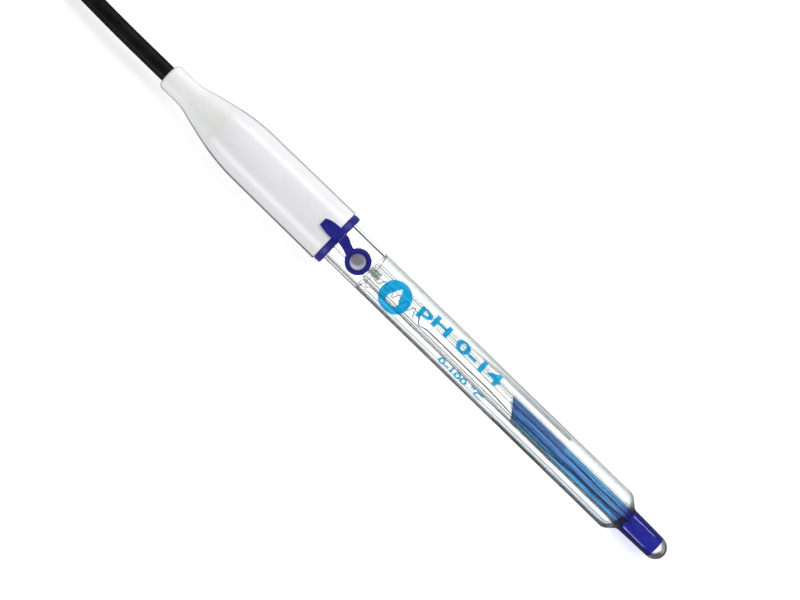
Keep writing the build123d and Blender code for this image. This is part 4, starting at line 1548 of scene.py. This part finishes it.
@dataclass
class Print:
    """Clear film round the glass, with a plain printed disc, a scale range and a small line.

    A print's spots are its start, end, lower and upper side, in millimetres along the electrode
    and round it.
    """

    film_start: float = 13.0
    film_end: float = 62.0
    film_radius: float = 6.16
    film_seat: float = 6.008
    ink_radius: float = 6.165
    ink_thickness: float = 0.006
    flat_thickness: float = 0.01
    slices: int = 14
    segments: int = 128
    disc_spots: tuple[float, ...] = (18.0, 26.9, -5.42, 4.28)
    disc_steps: int = 24
    circle_handle: float = 0.5523
    drop: tuple = (
        ((0.0, 0.62, 0), (0.12, 0.4, 0), (-0.12, 0.4, 0)),
        ((0.0, -0.5, 0), (-0.85, -0.5, 0), (0.85, -0.5, 0)),
    )
    word_widening: float = 0.032
    lines: tuple[tuple[str, str, tuple[float, ...]], ...] = (
        ("pH 0-14", "print_range", (29.2, 57.6, -0.13, 4.5)),
        ("0-100 °C", "print_small", (41.5, 57.0, -5.15, -3.1)),
    )

    def film(self) -> None:
        """Builds the film."""
        corners = [
            (self.film_start, self.film_seat),
            (self.film_start, self.film_radius),
            (self.film_end, self.film_radius),
            (self.film_end, self.film_seat),
        ]
        bm = spun([([*corners, corners[0]], Face.SIDE)], self.segments)
        piece = to_piece(bm, "clear_film", [FILM], LIE.place)
        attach(piece, BODY)
        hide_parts("print_film")
        report(piece)

    def wrap(self, flat: bpy.types.Curve, name: str, spots: tuple[float, ...]) -> None:
        """Makes a flat curve a mesh that is bent round the film.

        Args:
            flat: the flat curve or text.
            name: the piece's name.
            spots: where the print lies.
        """
        source = link_object(name + "_flat", flat)
        mesh = baked_mesh(source)
        bpy.data.objects.remove(source)
        bm = bmesh.new()
        bm.from_mesh(mesh)
        bpy.data.meshes.remove(mesh)
        low = Vector([min(v.co[i] for v in bm.verts) for i in range(3)])
        size = Vector([max(v.co[i] for v in bm.verts) for i in range(3)]) - low
        start, end, lower, upper = spots
        for cut in range(1, self.slices):
            bmesh.ops.bisect_plane(
                bm,
                geom=[*bm.faces, *bm.edges, *bm.verts],
                plane_co=(0, low.y + size.y * cut / self.slices, 0),
                plane_no=(0, 1, 0),
            )
        for vert in bm.verts:
            x = start + (vert.co.x - low.x) / size.x * (end - start)
            arc = lower + (vert.co.y - low.y) / size.y * (upper - lower)
            lift = (vert.co.z - low.z) / max(size.z, SLIVER) * self.ink_thickness
            angle = arc / self.ink_radius
            radius = self.ink_radius + lift
            vert.co = (x, radius * math.sin(angle), radius * math.cos(angle))
        bmesh.ops.remove_doubles(bm, verts=bm.verts, dist=SEAM)
        bmesh.ops.recalc_face_normals(bm, faces=bm.faces)
        piece = to_piece(bm, name, [INK], LIE.place)
        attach(piece, BODY)
        report(piece)

    def words(self, text: str, name: str, spots: tuple[float, ...]) -> None:
        """Prints one line of text.

        Args:
            text: the text.
            name: the piece's name.
            spots: where the print lies.
        """
        curve = bpy.data.curves.new(name + "_text", "FONT")
        curve.body = text
        curve.extrude = self.flat_thickness
        curve.offset = self.word_widening
        self.wrap(curve, name, spots)

    def disc(self) -> None:
        """Prints the disc with a plain drop left clear in it."""
        curve = bpy.data.curves.new("disc_outline", "CURVE")
        curve.dimensions = "2D"
        curve.fill_mode = "BOTH"
        curve.extrude = self.flat_thickness
        curve.resolution_u = self.disc_steps
        ring = []
        for quarter in range(4):
            angle = math.pi / 2 * quarter
            here = Vector((math.cos(angle), math.sin(angle), 0))
            side = Vector((-here.y, here.x, 0)) * self.circle_handle
            ring.append((here, here - side, here + side))
        add_loop(curve, ring)
        add_loop(curve, self.drop)
        self.wrap(curve, "print_disc", self.disc_spots)

    def build(self) -> None:
        """Builds the film and its print."""
        self.film()
        self.disc()
        for text, name, spots in self.lines:
            self.words(text, name, spots)


@dataclass
class InnerParts:
    """Wires, wadding, seals and the junction inside the glass and the cap."""

    wool_start: float = 12.4
    wool_end: float = 16.4
    wool_radius: float = 1.78
    wool_flat: float = -0.5
    strands: int = 120
    strand_radius: float = 0.055
    strand_points: int = 4
    strand_steps: int = 3
    ragged: float = 0.3
    seed: int = 7
    finishes: dict[str, Finish] = field(
        default_factory=lambda: {
            "potting": RESIN,
            "top_seal": SEAL_GREY,
            "tube_plug": SEAL_GREY,
            "lead_coil": SILVER,
            "element_wire": WIRE_BLACK,
            "return_wire": SILVER,
            "reference_wire": SLEEVE,
            "junction": CERAMIC,
            "cable_core": CORE_WHITE,
            "core_splice": TINNED,
            "shield_pigtail": TINNED,
            "shield_splice": TINNED,
        }
    )

    def strand_point(self, chance: random.Random) -> Vector:
        """One random point in the wadding, in metres.

        Args:
            chance: the random numbers.

        Returns:
            The point.
        """
        angle = chance.uniform(0, 2 * math.pi)
        reach = self.wool_radius * math.sqrt(chance.uniform(0.0, 1.0))
        side = max(reach * math.cos(angle), self.wool_flat + chance.uniform(0, self.ragged))
        place = chance.uniform(self.wool_start, self.wool_end)
        return spot(place, side, reach * math.sin(angle))

    def wool(self) -> None:
        """Builds the glass-wool wadding as many fine curved strands."""
        chance = random.Random(self.seed)
        curve = round_curve("wadding", self.strand_radius * MM, self.strand_steps, 0)
        for _ in range(self.strands):
            add_line(curve, [self.strand_point(chance) for _ in range(self.strand_points)])
        curve.materials.append(WOOL.material())
        piece = link_object("wadding", curve)
        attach(piece, BODY)
        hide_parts("fibre_plug")
        report(piece)

    def build(self) -> None:
        """Dresses the inner CAD nodes and builds the wadding."""
        for node, finish in self.finishes.items():
            dress_node(node, finish)
        self.wool()


@dataclass
class SmoothCopies:
    """Pieces that are smooth copies of CAD nodes: name, finish and body by node."""

    copies: dict[str, tuple[str, Finish, str]]

    def build(self) -> list[Piece]:
        """Builds the pieces and returns them."""
        return [smooth_copy(node, *rest) for node, rest in self.copies.items()]


@dataclass
class Housing(SmoothCopies):
    """White cap, pale strain relief, silicone band and the strapped stopper."""

    copies: dict[str, tuple[str, Finish, str]] = field(
        default_factory=lambda: {
            "cap": ("white_cap", CAP_WHITE, BODY),
            "boot": ("strain_relief", BOOT_GREY, BODY),
            "stopper_band": ("silicone_band", SILICONE, BODY),
            "fill_stopper": ("strap_stopper", SILICONE, STOPPER_BODY),
        }
    )


@dataclass
class Plug(SmoothCopies):
    """Bayonet plug: rubber boot, plated body, sprung contact, insulator, pin and turning sleeve."""

    copies: dict[str, tuple[str, Finish, str]] = field(
        default_factory=lambda: {
            "plug_boot": ("ribbed_boot", BLACK_RUBBER, BODY),
            "plug_ferrule": ("crimp_ferrule", NICKEL, BODY),
            "plug_body": ("coupling_body", NICKEL, BODY),
            "plug_contact": ("sprung_contact", NICKEL, BODY),
            "plug_insulator": ("white_insulator", INSULATOR, BODY),
            "plug_core": ("inner_core", CORE_WHITE, BODY),
            "plug_pin": ("contact_pin", GOLD, BODY),
            "plug_gasket": ("face_gasket", GASKET, BODY),
            "plug_washer": ("wave_washer", SPRING, BODY),
            "plug_sleeve": ("bayonet_sleeve", NICKEL, COUPLING_BODY),
        }
    )


@dataclass
class Cord:
    """Cable from the strain relief to the tied hank and on to the plug, as one line."""

    diameter: float = 4.7
    hank_near: float = -200.0
    hank_run: float = 90.0
    hank_side: float = 9.3
    fold_radius: float = 15.0
    waist: float = 2.4
    draw_in: tuple[tuple[float, float], ...] = (
        (0.79, 0.06),
        (0.41, 0.72),
        (0.0, 1.0),
        (-0.41, 0.72),
        (-0.79, 0.06),
    )
    tie_round: float = 0.2
    line_steps: int = 8
    section_steps: int = 6
    layers: tuple[float, ...] = (3.25, 8.05, 12.85)
    fold_points: int = 6
    length: float = 0.98
    exit_place: float = -60.0
    start: tuple[float, ...] = (-56.0, -64.0, -78.0)
    lead: tuple[Point, ...] = (
        (-126.0, 0.5, 7.4),
        (-146.0, 0.2, 4.1),
        (-168.0, -2.0, 2.9),
        (-188.0, -5.1, 3.1),
        (-199.0, -5.7, 3.25),
    )
    tail: tuple[Point, ...] = (
        (-199.0, 24.3, 12.85),
        (-190.5, 24.2, 12.55),
        (-180.0, 21.6, 9.95),
        (-169.5, 19.0, 7.25),
        (-159.6, 19.0, 7.25),
        (-141.0, 19.0, 7.25),
    )

    def run(self, side: int, height: float) -> list[Point]:
        """One long side of a turn, drawn in at the waist.

        Args:
            side: -1 for the side that leads away, 1 for the side that comes back.
            height: height of the line.

        Returns:
            Points from the near end to the far end.
        """
        half = self.hank_run / 2
        points = []
        for along, share in self.draw_in:
            width = self.fold_radius + (self.waist - self.fold_radius) * share
            x = self.hank_near - half + along * half
            points.append((x, self.hank_side + side * width, height))
        return points

    def fold(self, x: float, away: int, heights: tuple[float, float]) -> list[Point]:
        """One fold of a turn, which climbs in its middle part if its two heights differ.

        Args:
            x: where the fold starts.
            away: -1 at the far end, 1 at the near end.
            heights: the line's height at its start and its end.

        Returns:
            The fold's points in the order that the cable runs.
        """
        points = []
        step = math.pi / self.fold_points
        reach = self.fold_radius / math.cos(step / 2)
        for number in range(self.fold_points):
            angle = step * (number + 0.5)
            share = min(1.0, max(0.0, (number - 0.5) / (self.fold_points - 2.5)))
            height = heights[0] + (heights[1] - heights[0]) * share
            side = self.hank_side + away * reach * math.cos(angle)
            points.append((x + away * reach * math.sin(angle), side, height))
        return points

    def turns(self) -> list[Point]:
        """The hank's turns, which lie on each other.

        Returns:
            The points, in millimetres.
        """
        far = self.hank_near - self.hank_run
        points = []
        for number, height in enumerate(self.layers):
            points += self.run(-1, height)
            points += self.fold(far, -1, (height, height))
            points += self.run(1, height)[::-1]
            if number + 1 < len(self.layers):
                points += self.fold(self.hank_near, 1, (height, self.layers[number + 1]))
        return points

    def tie(self) -> Piece:
        """Builds the woven tie round the hank's waist.

        Returns:
            The tie.
        """
        piece = smooth_copy("hank_tie", "woven_tie", TIE_TAPE)
        rounding = piece.modifiers.new("rounding", "BEVEL")
        rounding.width = self.tie_round * MM
        rounding.segments = 2
        rounding.limit_method = "ANGLE"
        return piece

    def build(self) -> None:
        start = [tuple(spot(place) / MM) for place in self.start]
        route = [*start, *self.lead, *self.turns(), *self.tail]
        steps = (self.line_steps, self.section_steps)
        curve = round_curve("cable_line", self.diameter / 2 * MM, *steps)
        add_line(curve, [scaled(place, MM) for place in route])
        curve.materials.append(JACKET.material())
        piece = link_object("cable_line", curve)
        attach(piece, BODY)
        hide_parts("cable", "cable_hank", "cable_tail")
        report(piece)
        tuple(spot(self.exit_place))
        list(Plug().build())
        self.tie()


# The studio


@dataclass
class Studio:
    """Pale floor, soft lamps, dark cards for the glass's edges, and the camera above.

    A lamp has a place, a length and height, a power in watts, and whether it casts shadows.
    """

    floor_size: float = 6.0
    floor_drop: float = 0.0001
    floor_colour: Colour = (0.86, 0.86, 0.86)
    glow_reach: tuple[float, float] = (0.1, 0.4)
    glow: tuple[float, float] = (0.32, 0.75)
    mirror_floor: float = 0.3
    world_light: float = 0.3
    mirror_light: float = 0.3
    lamps: dict[str, tuple[Point, tuple[float, float], float, bool]] = field(
        default_factory=lambda: {
            "lamp_above": ((0.0, 0.25, 0.5), (0.5, 0.2), 1.5, True),
            "lamp_right": ((-0.045, 0.5, 0.2), (0.52, 0.2), 1.6, False),
            "lamp_left": ((-0.045, -0.5, 0.2), (0.52, 0.2), 1.8, False),
        }
    )
    card_sides: dict[str, float] = field(
        default_factory=lambda: {"card_right": 0.2, "card_left": -0.2}
    )
    card_size: tuple[float, float] = (0.9, 0.035)
    card_colour: Colour = (0.02, 0.02, 0.022)
    view_centre: Point = (-0.00605, -0.0001, 0.007)
    view_width: float = 0.2087
    view_turn: float = 44.17
    lens: float = 100.0
    sensor: float = 36.0
    clip: float = 0.01
    bounces: int = 32

    def sheet(self, name: str, place: Matrix, surface: Callable[[Graph], Socket]) -> Piece:
        """Adds one flat sheet of the studio, from a unit square.

        Args:
            name: the sheet's name.
            place: matrix that sizes and places the square.
            surface: builds its shader.

        Returns:
            The sheet.
        """
        bm = bmesh.new()
        bmesh.ops.create_grid(bm, x_segments=1, y_segments=1, size=0.5)
        bmesh.ops.transform(bm, matrix=place, verts=bm.verts)
        mesh = bpy.data.meshes.new(name)
        bm.to_mesh(mesh)
        bm.free()
        mesh.materials.append(make_material(name + "_material", surface))
        return link_object(name, mesh)

    def floor_surface(self, graph: Graph) -> Socket:
        """Matt floor, dim in mirrored light, that glows white to the camera away from the part.

        Args:
            graph: the material's graph.

        Returns:
            The shader.
        """
        path = graph.add("LightPath").outputs
        mirror = graph.math("SUBTRACT", path["Is Glossy Ray"], path["Is Transmission Ray"])
        mirrored = scaled(self.floor_colour, self.mirror_floor)
        colour = graph.blend(graph.get("Clamp", {0: mirror}), self.floor_colour, mirrored)
        direct = graph.math("MAXIMUM", path["Is Camera Ray"], path["Is Transmission Ray"])
        place = graph.get("TexCoord", output="Object")
        away = graph.get("VectorMath", {0: place}, "Value", operation="LENGTH")
        strength = graph.math("MULTIPLY", direct, graph.span(away, *self.glow_reach, *self.glow))
        matt = graph.get("BsdfDiffuse", {"Color": colour})
        glow = graph.get("Emission", {"Strength": strength})
        return graph.get("AddShader", {0: matt, 1: glow})

    def card_surface(self, graph: Graph) -> Socket:
        """Plain dark card."""
        return graph.get("BsdfDiffuse", {"Color": self.card_colour})

    def world(self) -> None:
        """Fills the sky: white to the camera and through glass, softer to the rest."""
        world = bpy.data.worlds.new("studio")
        bpy.context.scene.world = world
        world.use_nodes = True
        world.node_tree.nodes.clear()
        graph = Graph(world.node_tree)
        path = graph.add("LightPath").outputs
        light = graph.span(path["Is Glossy Ray"], 0.0, 1.0, self.world_light, self.mirror_light)
        direct = graph.math("MAXIMUM", path["Is Camera Ray"], path["Is Transmission Ray"])
        inputs = {"Color": WHITE, "Strength": graph.math("MAXIMUM", light, direct)}
        graph.add("OutputWorld", {0: graph.get("Background", inputs)})

    def lamp(
        self, name: str, place: Point, size: tuple[float, float], power: float, shadow: bool
    ) -> None:
        """Hangs one soft lamp that looks at the electrode; one with shadows isn't mirrored.

        Args:
            name: the lamp's name.
            place: where it hangs.
            size: its length and its height.
            power: its power in watts.
            shadow: whether it casts shadows.
        """
        data = bpy.data.lights.new(name, "AREA")
        data.use_shadow = shadow
        data.shape = "RECTANGLE"
        data.size, data.size_y = size
        data.energy = power
        lamp = link_object(name, data)
        lamp.visible_glossy = not shadow
        lamp.location = place
        aim = Vector((place[0], 0.0, self.view_centre[2])) - Vector(place)
        lamp.rotation_mode = "QUATERNION"
        lamp.rotation_quaternion = aim.to_track_quat("-Z", "Y")

    def card(self, name: str, side: float) -> None:
        """Stands one dark card beside the electrode, unseen by the camera itself.

        Args:
            name: the card's name.
            side: its place across the electrode, in metres.
        """
        length, height = self.card_size
        turn = Matrix.Rotation(math.pi / 2, 4, "X")
        size = Matrix.Diagonal((length, 1.0, height, 1.0))
        place = Matrix.Translation((0.0, side, height / 2)) @ size @ turn
        card = self.sheet(name, place, self.card_surface)
        card.visible_camera = card.visible_diffuse = card.visible_shadow = False

    def camera(self) -> None:
        """Puts the camera straight above, turned to the photograph's diagonal."""
        data = bpy.data.cameras.new("camera")
        data.lens = self.lens
        data.sensor_width = self.sensor
        data.clip_start = self.clip
        camera = link_object("camera", data)
        distance = self.view_width * self.lens / self.sensor
        camera.location = Vector(self.view_centre) + Vector((0, 0, distance))
        camera.rotation_euler = (0.0, 0.0, math.radians(self.view_turn))
        bpy.context.scene.camera = camera

    def build(self) -> None:
        """Builds the studio."""
        flat = Matrix.Diagonal((self.floor_size, self.floor_size, 1.0, 1.0))
        drop = Matrix.Translation((0, 0, -self.floor_drop))
        floor = self.sheet("floor", drop @ flat, self.floor_surface)
        self.world()
        for name, settings in self.lamps.items():
            self.lamp(name, *settings)
        for name, side in self.card_sides.items():
            self.card(name, side)
        self.camera()
        scene = bpy.context.scene
        scene.view_settings.view_transform = "Standard"
        scene.cycles.max_bounces = self.bounces
        scene.cycles.transmission_bounces = self.bounces
        scene.cycles.transparent_max_bounces = self.bounces * 2
        LOG.info("built the studio")


def main() -> None:
    """Builds every piece in order."""
    logging.basicConfig(level=logging.INFO, format="%(message)s")
    for assembly in (Studio, Cord, Housing, InnerParts, GlassBody, Fillings, Print):
        assembly().build()


if __name__ == "__main__":
    main()
